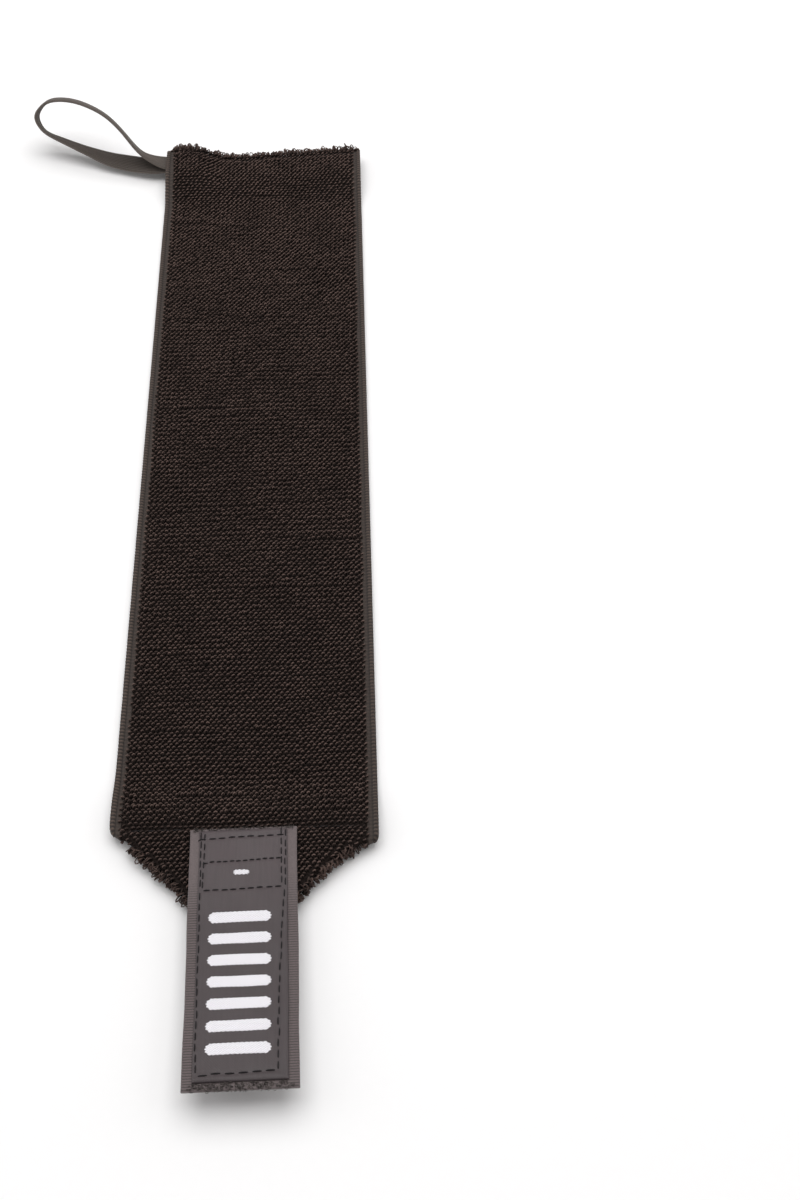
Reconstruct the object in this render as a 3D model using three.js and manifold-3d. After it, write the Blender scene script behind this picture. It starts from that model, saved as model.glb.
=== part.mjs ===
// A wrist wrap, lying open with its loop pile up: a terry elastic band with a sewn hem and folded
// corners, a thumb loop of narrow elastic, a hook tape tab and a woven label sewn on the tab.
// Millimetres. X runs across the band, Y along it toward the hem, Z up from the resting face.
import * as THREE from "three";
import { mergeVertices } from "three/addons/utils/BufferGeometryUtils.js";
import Module from "manifold-3d";

const wasm = await Module();
wasm.setup();

// Driving dimensions
const SEAM_GAP = 0.3; // air left between layers and pieces that are sewn together

const BAND_WIDTH = 75.6;
const BAND_LENGTH = 317; // from the crease over the folded corners to the hem's edge
const PILE_THICKNESS = 2.8; // ground cloth with its loops standing
const PRESSED_THICKNESS = 1.3; // the same cloth where the tab is sewn down on it
const CORD_WIDTH = 1.5; // round cord along each selvedge
const LANE_WIDTH = 1.7; // plain ribbed lane between the cord and the loops
const LANE_THICKNESS = 1.1;
const PILE_SHOULDER = 1.6; // width over which the loops rise from the lane
const SHOULDER_RADIUS = 6; // where a side turns into a folded corner
const RAMP_LENGTH = 18; // run over which the band comes down off a folded layer
const CREASE_DEPTH = 1.2; // groove of the seam that holds the folded corners
const CREASE_REACH = 1.6; // half the width of that groove
const HEM_MARGIN = 2; // cloth past the webbing inside the hem
const HEM_SEAM_INSET = 4; // from the hem's edge to its seam
const HEM_SEAM_DEPTH = 0.8;
const CURL_LIFT = 1.5; // rise of the hem's free corner
const CURL_WIDTH = 30;
const HEM_DIP = 1.9; // how far the hem's edge is drawn in beside the webbing's ends
const HEM_DIP_WIDTH = 34;

const WEBBING_WIDTH = 8;
const WEBBING_THICKNESS = 1.1;
const WEBBING_TUCK = 12; // length of each end held inside the hem
const BULGE_EASE = 10; // run over which the hem closes beside the webbing's ends
const LOOP_REACH = 51.5; // from the band's side to the end of the loop
const LOOP_DRIFT = 21; // how far the loop leans away past the hem
const LOOP_RISE = 22; // highest point of the loop's centre line

const TAB_WIDTH = 29.8;
const TAB_LENGTH = 79.4;
const TAB_TURN = 1.05; // the tab is sewn on a little askew, in degrees
const TAB_SETBACK = 1.4; // from the crease to the tab's sewn end
const TAPE_THICKNESS = 0.9;
const HOOK_HEIGHT = 1;
const TAPE_SELVEDGE = 3; // hookless edge on each side of the tape
const TAB_LEVEL = 28; // length of the tab that lies level on the band
const TAB_BEND = 20; // length over which it turns upward
const TAB_ANGLE = 4; // slope of its free end, in degrees

const LABEL_WIDTH = 24.4;
const LABEL_THICKNESS = 0.4;
const LABEL_START = 0.8; // from the tab's sewn end to the label
const LABEL_END_MARGIN = 2; // from the label to the tab's free end

// Places worked out from them
const HALF_WIDTH = BAND_WIDTH / 2;
const HEM_Y = BAND_LENGTH / 2;
const CREASE_Y = -BAND_LENGTH / 2;
const SELVEDGE_WIDTH = CORD_WIDTH + LANE_WIDTH;
const FOLD_REACH = PILE_THICKNESS + SEAM_GAP / 2; // from a fold's centre to its outer edge
const TAB_SKEW = HALF_WIDTH * Math.sin(THREE.MathUtils.degToRad(TAB_TURN));
const PRESSED_HALF_WIDTH = TAB_WIDTH / 2 + TAB_SKEW + SEAM_GAP;
const HEM_DIP_X = WEBBING_TUCK - HALF_WIDTH + HEM_DIP_WIDTH / 2;
const HEM_CENTRE_Y = HEM_Y - FOLD_REACH;
const WEBBING_Y = HEM_CENTRE_Y - SEAM_GAP - WEBBING_WIDTH / 2;
const HEM_END_Y = WEBBING_Y - WEBBING_WIDTH / 2 - HEM_MARGIN;
const LOWER_WEBBING_Z = PILE_THICKNESS + SEAM_GAP + WEBBING_THICKNESS / 2;
const UPPER_WEBBING_Z = LOWER_WEBBING_Z + WEBBING_THICKNESS + SEAM_GAP;
const FLAP_LIFT = PILE_THICKNESS + SEAM_GAP;
const TAB_START_Y = CREASE_Y - TAB_SETBACK;
const TAPE_Z = FLAP_LIFT + PRESSED_THICKNESS + SEAM_GAP + HOOK_HEIGHT;
const LABEL_OFFSET = TAPE_THICKNESS + SEAM_GAP;

// How finely curves are cut into flats
const FOLD_STEPS = 6;
const DIAGONAL_STEP = 3.2;
const LOOP_STEPS = 64;
const BEND_STEPS = 6;

// The thumb loop's centre line outside the hem, from the upper end round to the lower one:
// shares of its reach, drift and rise, and how far its far edge leans down, in degrees.
const LOOP_STATIONS = [
  { out: 0.09, drift: 0.03, rise: 0.07, lean: 12 },
  { out: 0.2, drift: 0.12, rise: 0.2, lean: 32 },
  { out: 0.31, drift: 0.31, rise: 0.535, lean: 38 },
  { out: 0.395, drift: 0.47, rise: 0.74, lean: 36 },
  { out: 0.5, drift: 0.64, rise: 0.89, lean: 33 },
  { out: 0.69, drift: 0.855, rise: 1, lean: 30 },
  { out: 0.88, drift: 1.005, rise: 0.9, lean: 27 },
  { out: 0.96, drift: 1, rise: 0.72, lean: 28 },
  { out: 1, drift: 0.935, rise: 0.535, lean: 32 },
  { out: 0.975, drift: 0.85, rise: 0.37, lean: 38 },
  { out: 0.93, drift: 0.785, rise: 0.26, lean: 35 },
  { out: 0.83, drift: 0.7, rise: 0.165, lean: 27 },
  { out: 0.69, drift: 0.557, rise: 0.073, lean: 19 },
  { out: 0.557, drift: 0.42, rise: 0.007, lean: 9 },
  { out: 0.44, drift: 0.28, rise: -0.026, lean: -2 },
  { out: 0.32, drift: 0.17, rise: -0.03, lean: -9 },
  { out: 0.2, drift: 0.065, rise: -0.012, lean: -10 },
  { out: 0.09, drift: 0, rise: -0.005, lean: -5 },
];

const clamp = THREE.MathUtils.clamp;
const lerp = THREE.MathUtils.lerp;
const ease = (value, low, high) => THREE.MathUtils.smoothstep(value, low, high);

// A closed body skinned over rings of equal point counts, with flat ends.
function loftSolid(rings) {
  const count = rings[0].length;
  const indices = [];
  for (let ring = 0; ring + 1 < rings.length; ring++) {
    for (let side = 0; side < count; side++) {
      const here = ring * count + side;
      const next = ring * count + ((side + 1) % count);
      indices.push(here, next, next + count, here, next + count, here + count);
    }
  }
  const first = capTriangles(rings[0]);
  const last = capTriangles(rings.at(-1));
  const lastStart = (rings.length - 1) * count;
  first.forEach(([a, b, c]) => indices.push(a, c, b));
  last.forEach(([a, b, c]) => indices.push(a + lastStart, b + lastStart, c + lastStart));
  const geometry = new THREE.BufferGeometry();
  geometry.setFromPoints(rings.flat());
  geometry.setIndex(indices);
  return geometry;
}

// Triangles that fill a flat ring, each turning the same way as the ring itself.
function capTriangles(ring) {
  const normal = ringNormal(ring);
  const across = new THREE.Vector3().subVectors(ring[1], ring[0]).normalize();
  const up = new THREE.Vector3().crossVectors(normal, across);
  const flat = ring.map((point) => new THREE.Vector2(point.dot(across), point.dot(up)));
  const turns = (a, b, c) =>
    (flat[b].x - flat[a].x) * (flat[c].y - flat[a].y) - (flat[c].x - flat[a].x) * (flat[b].y - flat[a].y);
  return THREE.ShapeUtils.triangulateShape(flat, []).map(([a, b, c]) =>
    turns(a, b, c) > 0 ? [a, b, c] : [a, c, b],
  );
}

function ringNormal(ring) {
  const normal = new THREE.Vector3();
  ring.forEach((point, index) => {
    const next = ring[(index + 1) % ring.length];
    normal.add(new THREE.Vector3().crossVectors(point, next));
  });
  return normal.normalize();
}

function solidOf(geometry) {
  const bare = geometry.clone();
  bare.deleteAttribute("normal");
  bare.deleteAttribute("uv");
  const merged = mergeVertices(bare, 1e-4);
  const triVerts = new Uint32Array(merged.index.array);
  const vertProperties = merged.attributes.position.array;
  return new wasm.Manifold(new wasm.Mesh({ numProp: 3, vertProperties, triVerts }));
}

function geometryOf(solid) {
  const mesh = solid.getMesh();
  const geometry = new THREE.BufferGeometry();
  geometry.setAttribute("position", new THREE.BufferAttribute(mesh.vertProperties, 3));
  geometry.setIndex(new THREE.BufferAttribute(mesh.triVerts, 1));
  geometry.computeVertexNormals();
  return geometry;
}

function namedMesh(name, geometry, color, roughness) {
  geometry.computeVertexNormals();
  const material = new THREE.MeshStandardMaterial({ color, roughness, metalness: 0 });
  const mesh = new THREE.Mesh(geometry, material);
  mesh.name = name;
  return mesh;
}

// Heights of the cloth's under and upper faces at a distance in from its selvedge.
function clothAt(inset) {
  const radius = CORD_WIDTH / 2;
  const offCentre = clamp(radius - inset, -radius, radius);
  const round = Math.max(Math.sqrt(radius ** 2 - offCentre ** 2), radius * 0.35);
  const underside = inset < radius ? radius - round : 0;
  if (inset <= CORD_WIDTH) return { underside, top: radius + round };
  if (inset <= SELVEDGE_WIDTH) return { underside, top: LANE_THICKNESS };
  const share = clamp((inset - SELVEDGE_WIDTH) / PILE_SHOULDER, 0, 1);
  const climb = Math.sqrt(1 - (1 - share) ** 2);
  return { underside, top: lerp(LANE_THICKNESS, PILE_THICKNESS, climb) };
}

const insetOf = (x) => HALF_WIDTH - Math.abs(x);

const SELVEDGE_INSETS = [
  0,
  CORD_WIDTH * 0.08,
  CORD_WIDTH * 0.25,
  CORD_WIDTH * 0.5,
  CORD_WIDTH * 0.8,
  CORD_WIDTH,
  CORD_WIDTH + LANE_WIDTH * 0.1,
  SELVEDGE_WIDTH,
  SELVEDGE_WIDTH + PILE_SHOULDER * 0.1,
  SELVEDGE_WIDTH + PILE_SHOULDER * 0.4,
  SELVEDGE_WIDTH + PILE_SHOULDER,
];

// Y of the folded corners' outer edge: 45 degree folds with a rounded shoulder at each side.
function foldEdgeY(x) {
  const inset = insetOf(x);
  const tangent = SHOULDER_RADIUS * Math.tan(Math.PI / 8);
  if (inset > SHOULDER_RADIUS * (1 - Math.SQRT1_2)) return CREASE_Y - inset;
  return CREASE_Y + tangent - Math.sqrt(SHOULDER_RADIUS ** 2 - (SHOULDER_RADIUS - inset) ** 2);
}

// How much of the tab's pressing the cloth feels at a place, from 0 to 1.
function tabShade(x, y) {
  const beside = Math.abs(x) - PRESSED_HALF_WIDTH;
  const past = y - TAB_START_Y - SEAM_GAP;
  return (1 - clamp(beside / CREASE_REACH, 0, 1)) * (1 - clamp(past / CREASE_REACH, 0, 1));
}

// Space inside the hem: closed, but open over the two ends of the webbing.
function hemGap(x) {
  const stack = 2 * (WEBBING_THICKNESS + SEAM_GAP);
  const webbingEnd = -HALF_WIDTH + WEBBING_TUCK + SEAM_GAP;
  return SEAM_GAP + stack * (1 - ease(x, webbingEnd, webbingEnd + BULGE_EASE));
}

// How far the hem is drawn in at x.
function hemDip(x) {
  const share = clamp((x - HEM_DIP_X) / (HEM_DIP_WIDTH / 2), -1, 1);
  return HEM_DIP * Math.cos((share * Math.PI) / 2) ** 2;
}

const curlAt = (x) => CURL_LIFT * ease(x, HALF_WIDTH - CURL_WIDTH, HALF_WIDTH);

// Height of the main layer's underside where it passes over the hem.
const hemLift = (x) => PILE_THICKNESS + hemGap(x) + curlAt(x);

function groove(distance, reach, depth) {
  return Math.abs(distance) < reach ? depth * Math.cos((distance / reach) * (Math.PI / 2)) : 0;
}

// One lengthwise slice of the band at x: the top from the folded corner to the hem, round the hem
// to its cut end, back under the main layer, and round the folded corner's flap.
function bandSlice(x) {
  const cloth = clothAt(insetOf(x));
  const edgeY = foldEdgeY(x);
  const foldTop = FLAP_LIFT + lerp(cloth.top, PRESSED_THICKNESS, tabShade(x, edgeY));
  const shoulder = Math.max(FOLD_REACH - insetOf(x), 0);
  const shoulderLift = FOLD_REACH - Math.sqrt(FOLD_REACH ** 2 - shoulder ** 2);
  const flapUnder = Math.min(shoulderLift, PILE_THICKNESS - LANE_THICKNESS / 2);
  const foldHalf = (foldTop - flapUnder) / 2;
  const foldReach = foldHalf * lerp(1, Math.SQRT2, ease(insetOf(x), 0, SHOULDER_RADIUS));
  const foldY = edgeY + foldReach;
  const creaseY = Math.max(CREASE_Y, foldY + CREASE_REACH * 1.1);
  const flapEndY = Math.max(CREASE_Y, foldY + CREASE_REACH);
  const rampEndY = creaseY + CREASE_REACH + RAMP_LENGTH;
  const dip = hemDip(x);
  const hemEndY = HEM_END_Y - dip;
  const hemCentreY = HEM_CENTRE_Y - dip;
  const hemSeamY = HEM_Y - HEM_SEAM_INSET - dip;
  const hemRampY = hemEndY - SEAM_GAP;
  const lift = hemLift(x);

  const baseAt = (y) => {
    const near = FLAP_LIFT * (1 - ease(y, creaseY + CREASE_REACH, rampEndY));
    const far = lift * ease(y, hemRampY - RAMP_LENGTH, hemRampY);
    return near + far;
  };
  const topAt = (y) => {
    const shade = tabShade(x, y);
    const seams =
      groove(y - creaseY, CREASE_REACH, CREASE_DEPTH) * (1 - shade) +
      groove(y - hemSeamY, CREASE_REACH, HEM_SEAM_DEPTH);
    const standing = Math.max(cloth.top - seams, Math.min(cloth.top, LANE_THICKNESS));
    return baseAt(y) + lerp(standing, PRESSED_THICKNESS, shade * ease(insetOf(x), 0, SHOULDER_RADIUS));
  };

  const points = [];
  const add = (y, z) => points.push(new THREE.Vector3(x, y, z));
  const nearRamp = [0, 0.25, 0.5, 0.75, 1].map((share) => lerp(creaseY + CREASE_REACH, rampEndY, share));
  const farRamp = [0, 0.25, 0.5, 0.75, 1].map((share) => lerp(hemRampY - RAMP_LENGTH, hemRampY, share));

  // Top of the main layer, from the folded corner to the hem
  const creaseStart = creaseY - CREASE_REACH;
  [0, 0.35, 0.7].forEach((share) => {
    const y = lerp(foldY, creaseStart, share);
    add(y, topAt(y));
  });
  [-1, -0.5, 0, 0.5].forEach((share) => {
    const y = creaseY + share * CREASE_REACH;
    add(y, topAt(y));
  });
  [...nearRamp, ...farRamp].forEach((y) => add(y, topAt(y)));
  [-1, 0, 0.6].forEach((share) => {
    const y = hemSeamY + share * CREASE_REACH;
    add(y, topAt(y));
  });

  // Outside of the hem's fold
  const hemTop = lift + cloth.top;
  const hemUnder = curlAt(x) + PILE_THICKNESS - cloth.top;
  const hemMiddle = (hemTop + hemUnder) / 2;
  const hemHalf = (hemTop - hemUnder) / 2;
  for (let step = 1; step <= FOLD_STEPS; step++) {
    const angle = Math.PI / 2 - (Math.PI * step) / FOLD_STEPS;
    add(hemCentreY + FOLD_REACH * Math.cos(angle), hemMiddle + hemHalf * Math.sin(angle));
  }

  // Under layer of the hem with its cut end, then the inside of its fold
  const hemLayerTop = curlAt(x) + PILE_THICKNESS - cloth.underside;
  const cutRound = (hemLayerTop - hemUnder) / 4;
  add(hemEndY + cutRound, hemUnder);
  add(hemEndY, hemUnder + cutRound);
  add(hemEndY, hemLayerTop - cutRound);
  add(hemEndY + cutRound, hemLayerTop);
  add(hemCentreY, hemLayerTop);
  add(hemCentreY + SEAM_GAP / 2, (hemLayerTop + lift) / 2);
  add(hemCentreY, lift + cloth.underside);

  // Underside of the main layer, back to the folded corner
  [...farRamp, hemEndY].reverse().forEach((y) => add(y, baseAt(y) + cloth.underside));
  [...nearRamp].reverse().forEach((y) => add(y, baseAt(y) + cloth.underside));
  add(creaseStart, FLAP_LIFT + cloth.underside);
  add(foldY, FLAP_LIFT + cloth.underside);
  add(foldY - SEAM_GAP / 2, FLAP_LIFT - SEAM_GAP / 2);

  // The flap: its plain back up, its selvedge at the seam, its loops down
  const flapInsets = SELVEDGE_INSETS.filter((_, index) => index % 2 === 0);
  const flapScale = Math.min(1, (flapEndY - foldY) / (2 * flapInsets.at(-1)));
  const flapTop = (inset) => PILE_THICKNESS - clothAt(inset).underside;
  const flapFloor = (inset) =>
    Math.max(flapUnder, Math.min(PILE_THICKNESS - clothAt(inset).top, flapTop(inset) - LANE_THICKNESS / 2));
  add(foldY, PILE_THICKNESS);
  [...flapInsets].reverse().forEach((inset) => add(flapEndY - inset * flapScale, flapTop(inset)));
  flapInsets.forEach((inset) => add(flapEndY - inset * flapScale, flapFloor(inset)));

  // Outside of the corner's fold
  for (let step = 0; step < FOLD_STEPS; step++) {
    const angle = -Math.PI / 2 - (Math.PI * step) / FOLD_STEPS;
    add(foldY + foldReach * Math.cos(angle), (foldTop + flapUnder) / 2 + foldHalf * Math.sin(angle));
  }
  return points;
}

// X of the band's slices: close together at the selvedges, the tab's sides and the hem's bulge.
function bandStations() {
  const stations = [0];
  const innerInset = SELVEDGE_INSETS.at(-1);
  const spread = HALF_WIDTH - innerInset;
  const count = Math.ceil(spread / DIAGONAL_STEP);
  for (let step = 1; step < count; step++) stations.push((spread * step) / count);
  stations.push(PRESSED_HALF_WIDTH, PRESSED_HALF_WIDTH + CREASE_REACH);
  SELVEDGE_INSETS.forEach((inset) => stations.push(HALF_WIDTH - inset));
  const both = stations.flatMap((x) => (x === 0 ? [0] : [-x, x]));
  const sorted = both.sort((a, b) => a - b);
  return sorted.filter((x, index) => index === 0 || x - sorted[index - 1] > 0.05);
}

// The two flaps meet edge to edge along the middle, and this thin wedge of air parts them.
function slitSolid() {
  const tip = foldEdgeY(0) - FOLD_REACH;
  const length = CREASE_Y + CREASE_REACH - tip;
  const box = new THREE.BoxGeometry(SEAM_GAP, length, 2 * PILE_THICKNESS);
  box.translate(0, tip + length / 2, SEAM_GAP / 2);
  return solidOf(box);
}

function terryBand() {
  const slices = bandStations().map(bandSlice);
  const whole = loftSolid(slices.map((slice) => [...slice].reverse()));
  return geometryOf(solidOf(whole).subtract(slitSolid()));
}

// The webbing's section: a flat strap with softened edges, as shares of its width and thickness.
const STRAP_SECTION = [
  { across: -0.5, through: -0.2 },
  { across: -0.46, through: -0.5 },
  { across: 0.46, through: -0.5 },
  { across: 0.5, through: -0.2 },
  { across: 0.5, through: 0.2 },
  { across: 0.46, through: 0.5 },
  { across: -0.46, through: 0.5 },
  { across: -0.5, through: 0.2 },
];

function loopPoints() {
  const top = LOOP_STATIONS.findIndex((station) => station.out === 1);
  const tucked = (z, inside) => ({
    point: new THREE.Vector3(-HALF_WIDTH + inside, WEBBING_Y, z),
    lean: 0,
  });
  const free = LOOP_STATIONS.map((station, index) => {
    const end = index <= top ? UPPER_WEBBING_Z : LOWER_WEBBING_Z;
    const x = -HALF_WIDTH - station.out * LOOP_REACH;
    const y = WEBBING_Y + station.drift * LOOP_DRIFT;
    const z = lerp(end, LOOP_RISE, station.rise);
    return { point: new THREE.Vector3(x, y, z), lean: station.lean };
  });
  const upper = [WEBBING_TUCK, WEBBING_TUCK / 2, 0].map((inside) => tucked(UPPER_WEBBING_Z, inside));
  const lower = [0, WEBBING_TUCK / 2, WEBBING_TUCK].map((inside) => tucked(LOWER_WEBBING_Z, inside));
  return [...upper, ...free, ...lower];
}

function thumbLoop() {
  const stations = loopPoints();
  const curve = new THREE.CatmullRomCurve3(stations.map((station) => station.point));
  const rings = [];
  for (let step = 0; step <= LOOP_STEPS; step++) {
    const share = step / LOOP_STEPS;
    const place = share * (stations.length - 1);
    const before = Math.min(Math.floor(place), stations.length - 2);
    const lean = lerp(stations[before].lean, stations[before + 1].lean, place - before);
    const radians = THREE.MathUtils.degToRad(-lean);
    const centre = curve.getPoint(share);
    const along = curve.getTangent(share);
    const across = new THREE.Vector3(0, Math.cos(radians), Math.sin(radians));
    across.addScaledVector(along, -across.dot(along)).normalize();
    const through = new THREE.Vector3().crossVectors(along, across);
    rings.push(
      STRAP_SECTION.map((corner) =>
        centre
          .clone()
          .addScaledVector(across, corner.across * WEBBING_WIDTH)
          .addScaledVector(through, corner.through * WEBBING_THICKNESS),
      ),
    );
  }
  return loftSolid(rings);
}

// A point of the tab's line at a distance from its sewn end, which is its own origin: level, then
// bending up, then straight.
function tabLine(distance) {
  const full = THREE.MathUtils.degToRad(TAB_ANGLE);
  const bent = clamp(distance - TAB_LEVEL, 0, TAB_BEND);
  const straight = Math.max(distance - TAB_LEVEL - TAB_BEND, 0);
  const slope = (full * bent) / TAB_BEND;
  const radius = TAB_BEND / full;
  const run = Math.min(distance, TAB_LEVEL) + radius * Math.sin(slope) + straight * Math.cos(full);
  const rise = radius * (1 - Math.cos(slope)) + straight * Math.sin(full);
  return { y: -run, z: rise, slope };
}

// A strip that follows the tab's line between two distances, with a section of x and height.
function tabStrip(start, end, section) {
  const bends = [];
  for (let step = 0; step <= BEND_STEPS; step++) bends.push(TAB_LEVEL + (TAB_BEND * step) / BEND_STEPS);
  const distances = [start, ...bends.filter((value) => value > start && value < end), end];
  return loftSolid(
    distances.map((distance) => {
      const line = tabLine(distance);
      return section.map(
        ([x, height]) =>
          new THREE.Vector3(
            x,
            line.y + height * Math.sin(line.slope),
            line.z + height * Math.cos(line.slope),
          ),
      );
    }),
  );
}

function hookTab() {
  const half = TAB_WIDTH / 2;
  const field = half - TAPE_SELVEDGE;
  const soft = TAPE_THICKNESS / 3;
  const section = [
    [-half, soft],
    [-half + soft, 0],
    [-field, 0],
    [-field, -HOOK_HEIGHT],
    [field, -HOOK_HEIGHT],
    [field, 0],
    [half - soft, 0],
    [half, soft],
    [half, TAPE_THICKNESS - soft],
    [half - soft, TAPE_THICKNESS],
    [-half + soft, TAPE_THICKNESS],
    [-half, TAPE_THICKNESS - soft],
  ];
  return tabStrip(0, TAB_LENGTH, section);
}

function wovenLabel() {
  const half = LABEL_WIDTH / 2;
  const section = [
    [-half, LABEL_OFFSET],
    [half, LABEL_OFFSET],
    [half, LABEL_OFFSET + LABEL_THICKNESS],
    [-half, LABEL_OFFSET + LABEL_THICKNESS],
  ];
  return tabStrip(LABEL_START, TAB_LENGTH - LABEL_END_MARGIN, section);
}

// The tab and its label share one frame, set at the middle of the tab's sewn end.
const tabGroup = new THREE.Group();
tabGroup.position.set(0, TAB_START_Y, TAPE_Z);
tabGroup.rotation.z = THREE.MathUtils.degToRad(TAB_TURN);
tabGroup.add(
  namedMesh("hook_tab", hookTab(), 0x38343a, 0.75),
  namedMesh("woven_label", wovenLabel(), 0x5a5456, 0.5),
);

const group = new THREE.Group();
group.add(
  namedMesh("terry_band", terryBand(), 0x1f1a18, 0.95),
  namedMesh("thumb_loop", thumbLoop(), 0x3a3334, 0.8),
  tabGroup,
);

export default group;
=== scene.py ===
"""Looks of a wrist wrap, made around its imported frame.

The wrap lies open with its loop pile up: a terry elastic band with a hem and two folded corners, a
thumb strap, a hook tape tab and the woven label on it. Shapes are worked out in millimetres, in the
frame's own axes: X across the band, Y along it toward the hem, Z up from the resting face.
"""

import bpy
import numpy as np
from mathutils import Matrix


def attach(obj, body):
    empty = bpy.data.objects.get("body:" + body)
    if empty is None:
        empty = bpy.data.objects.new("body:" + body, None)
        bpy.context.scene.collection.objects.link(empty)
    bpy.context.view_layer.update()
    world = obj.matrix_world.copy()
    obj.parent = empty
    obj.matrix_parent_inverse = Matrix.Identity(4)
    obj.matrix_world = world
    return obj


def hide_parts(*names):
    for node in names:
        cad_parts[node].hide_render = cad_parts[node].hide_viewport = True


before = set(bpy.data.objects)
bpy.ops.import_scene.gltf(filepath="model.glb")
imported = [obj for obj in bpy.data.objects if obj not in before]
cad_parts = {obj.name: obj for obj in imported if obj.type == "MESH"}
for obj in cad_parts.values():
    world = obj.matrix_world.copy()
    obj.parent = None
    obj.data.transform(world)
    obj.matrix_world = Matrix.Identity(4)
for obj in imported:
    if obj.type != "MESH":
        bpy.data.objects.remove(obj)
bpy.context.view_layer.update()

bl_info = {
    "name": "Wrist wrap",
    "version": (1, 0, 0),
    "blender": (4, 5, 0),
    "location": "3D View > Sidebar > Wrist Wrap",
    "description": "Terry loops, ribbed elastic, hook tape, label and stitches of a wrist wrap",
    "category": "Object",
}

MM = 0.001

# Forms of the band, as its solid has them
SEAM_GAP = 0.3
BAND_WIDTH = 75.6
BAND_LENGTH = 317.0
PILE_THICKNESS = 2.8
CORD_WIDTH = 1.5
LANE_WIDTH = 1.7
LANE_THICKNESS = 1.1
PILE_SHOULDER = 1.6
SHOULDER_RADIUS = 6.0
RAMP_LENGTH = 18.0
CREASE_REACH = 1.6
HEM_MARGIN = 2.0
HEM_SEAM_INSET = 4.0
CURL_LIFT = 1.5
CURL_WIDTH = 30.0
HEM_DIP = 1.9
HEM_DIP_WIDTH = 34.0
WEBBING_WIDTH = 8.0
WEBBING_THICKNESS = 1.1
WEBBING_TUCK = 12.0
BULGE_EASE = 10.0
LOOP_REACH = 51.5
LOOP_DRIFT = 21.0
LOOP_RISE = 22.0

# How much lower the right folded shoulder stands, and over what width
RIGHT_SHOULDER_DROP = 4.2
RIGHT_SHOULDER_WIDTH = 13.0

# Forms of the tab and its label
TAB_WIDTH = 29.8
TAB_LENGTH = 79.4
TAB_TURN = np.radians(1.05)
TAB_SETBACK = 1.4
TAPE_THICKNESS = 0.9
HOOK_HEIGHT = 1.0
TAPE_SELVEDGE = 3.0
TAB_LEVEL = 28.0
TAB_BEND = 20.0
TAB_ANGLE = np.radians(4.0)
LABEL_WIDTH = 24.4
LABEL_THICKNESS = 0.4
LABEL_START = 0.8
LABEL_END_Y = TAB_LENGTH - 2.0
PRESSED_THICKNESS = 1.3

# Places worked out from them
HALF_WIDTH = BAND_WIDTH / 2
CREASE_Y = -BAND_LENGTH / 2
HEM_Y = BAND_LENGTH / 2
SELVEDGE_WIDTH = CORD_WIDTH + LANE_WIDTH
FOLD_REACH = PILE_THICKNESS + SEAM_GAP / 2
FLAP_LIFT = PILE_THICKNESS + SEAM_GAP
HEM_CENTRE_Y = HEM_Y - FOLD_REACH
WEBBING_Y = HEM_CENTRE_Y - SEAM_GAP - WEBBING_WIDTH / 2
HEM_END_Y = WEBBING_Y - WEBBING_WIDTH / 2 - HEM_MARGIN
HEM_DIP_X = WEBBING_TUCK - HALF_WIDTH + HEM_DIP_WIDTH / 2
LOWER_WEBBING_Z = PILE_THICKNESS + SEAM_GAP + WEBBING_THICKNESS / 2
UPPER_WEBBING_Z = LOWER_WEBBING_Z + WEBBING_THICKNESS + SEAM_GAP
TAB_START_Y = CREASE_Y - TAB_SETBACK
TAPE_Z = FLAP_LIFT + PRESSED_THICKNESS + SEAM_GAP + HOOK_HEIGHT
LABEL_OFFSET = TAPE_THICKNESS + SEAM_GAP
LABEL_TOP = LABEL_OFFSET + LABEL_THICKNESS
PRESSED_HALF_WIDTH = TAB_WIDTH / 2 + HALF_WIDTH * np.sin(TAB_TURN) + SEAM_GAP
CLOTH_LENGTH = BAND_LENGTH + HALF_WIDTH + HEM_CENTRE_Y - HEM_END_Y + np.pi

# The thumb strap's line outside the hem: shares of its reach, drift and rise, and its lean in degrees
STRAP_STATIONS = np.array([
    (0.09, 0.03, 0.07, 12), (0.2, 0.12, 0.2, 32), (0.31, 0.31, 0.535, 38),
    (0.395, 0.47, 0.74, 36), (0.5, 0.64, 0.89, 33), (0.69, 0.855, 1, 30),
    (0.88, 1.005, 0.9, 27), (0.96, 1, 0.72, 28), (1, 0.935, 0.535, 32),
    (0.975, 0.85, 0.37, 38), (0.93, 0.785, 0.26, 35), (0.83, 0.7, 0.165, 27),
    (0.69, 0.557, 0.073, 19), (0.557, 0.42, 0.007, 9), (0.44, 0.28, -0.026, -2),
    (0.32, 0.17, -0.03, -9), (0.2, 0.065, -0.012, -10), (0.09, 0, -0.005, -5),
])
STRAP_RINGS = 260
SMOOTHING = 9

# Seams of the tab, as (x, distance from the sewn end) at each end, and the stitches' pitch
TAB_SEAMS = (
    ((-12.6, 3.6), (11.6, 3.0), 2.6), ((-11.2, 11.3), (10.6, 10.6), 1.7),
    ((-11.0, 20.2), (10.8, 19.6), 2.2), ((-11.5, 0.6), (-11.6, 19.4), 2.8),
    ((-10.6, 1.4), (-10.9, 19.8), 3.0), ((10.6, 0.4), (10.5, 19.0), 2.8),
    ((11.7, 1.0), (11.5, 19.6), 3.0), ((-11.6, 20.4), (-11.7, 46.0), 3.0),
    ((-11.7, 46.6), (-11.4, 75.4), 3.0), ((11.3, 20.2), (9.9, 46.0), 3.0),
    ((9.9, 46.6), (9.4, 75.0), 3.0), ((-11.2, 75.6), (9.3, 74.9), 3.2),
)

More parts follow.
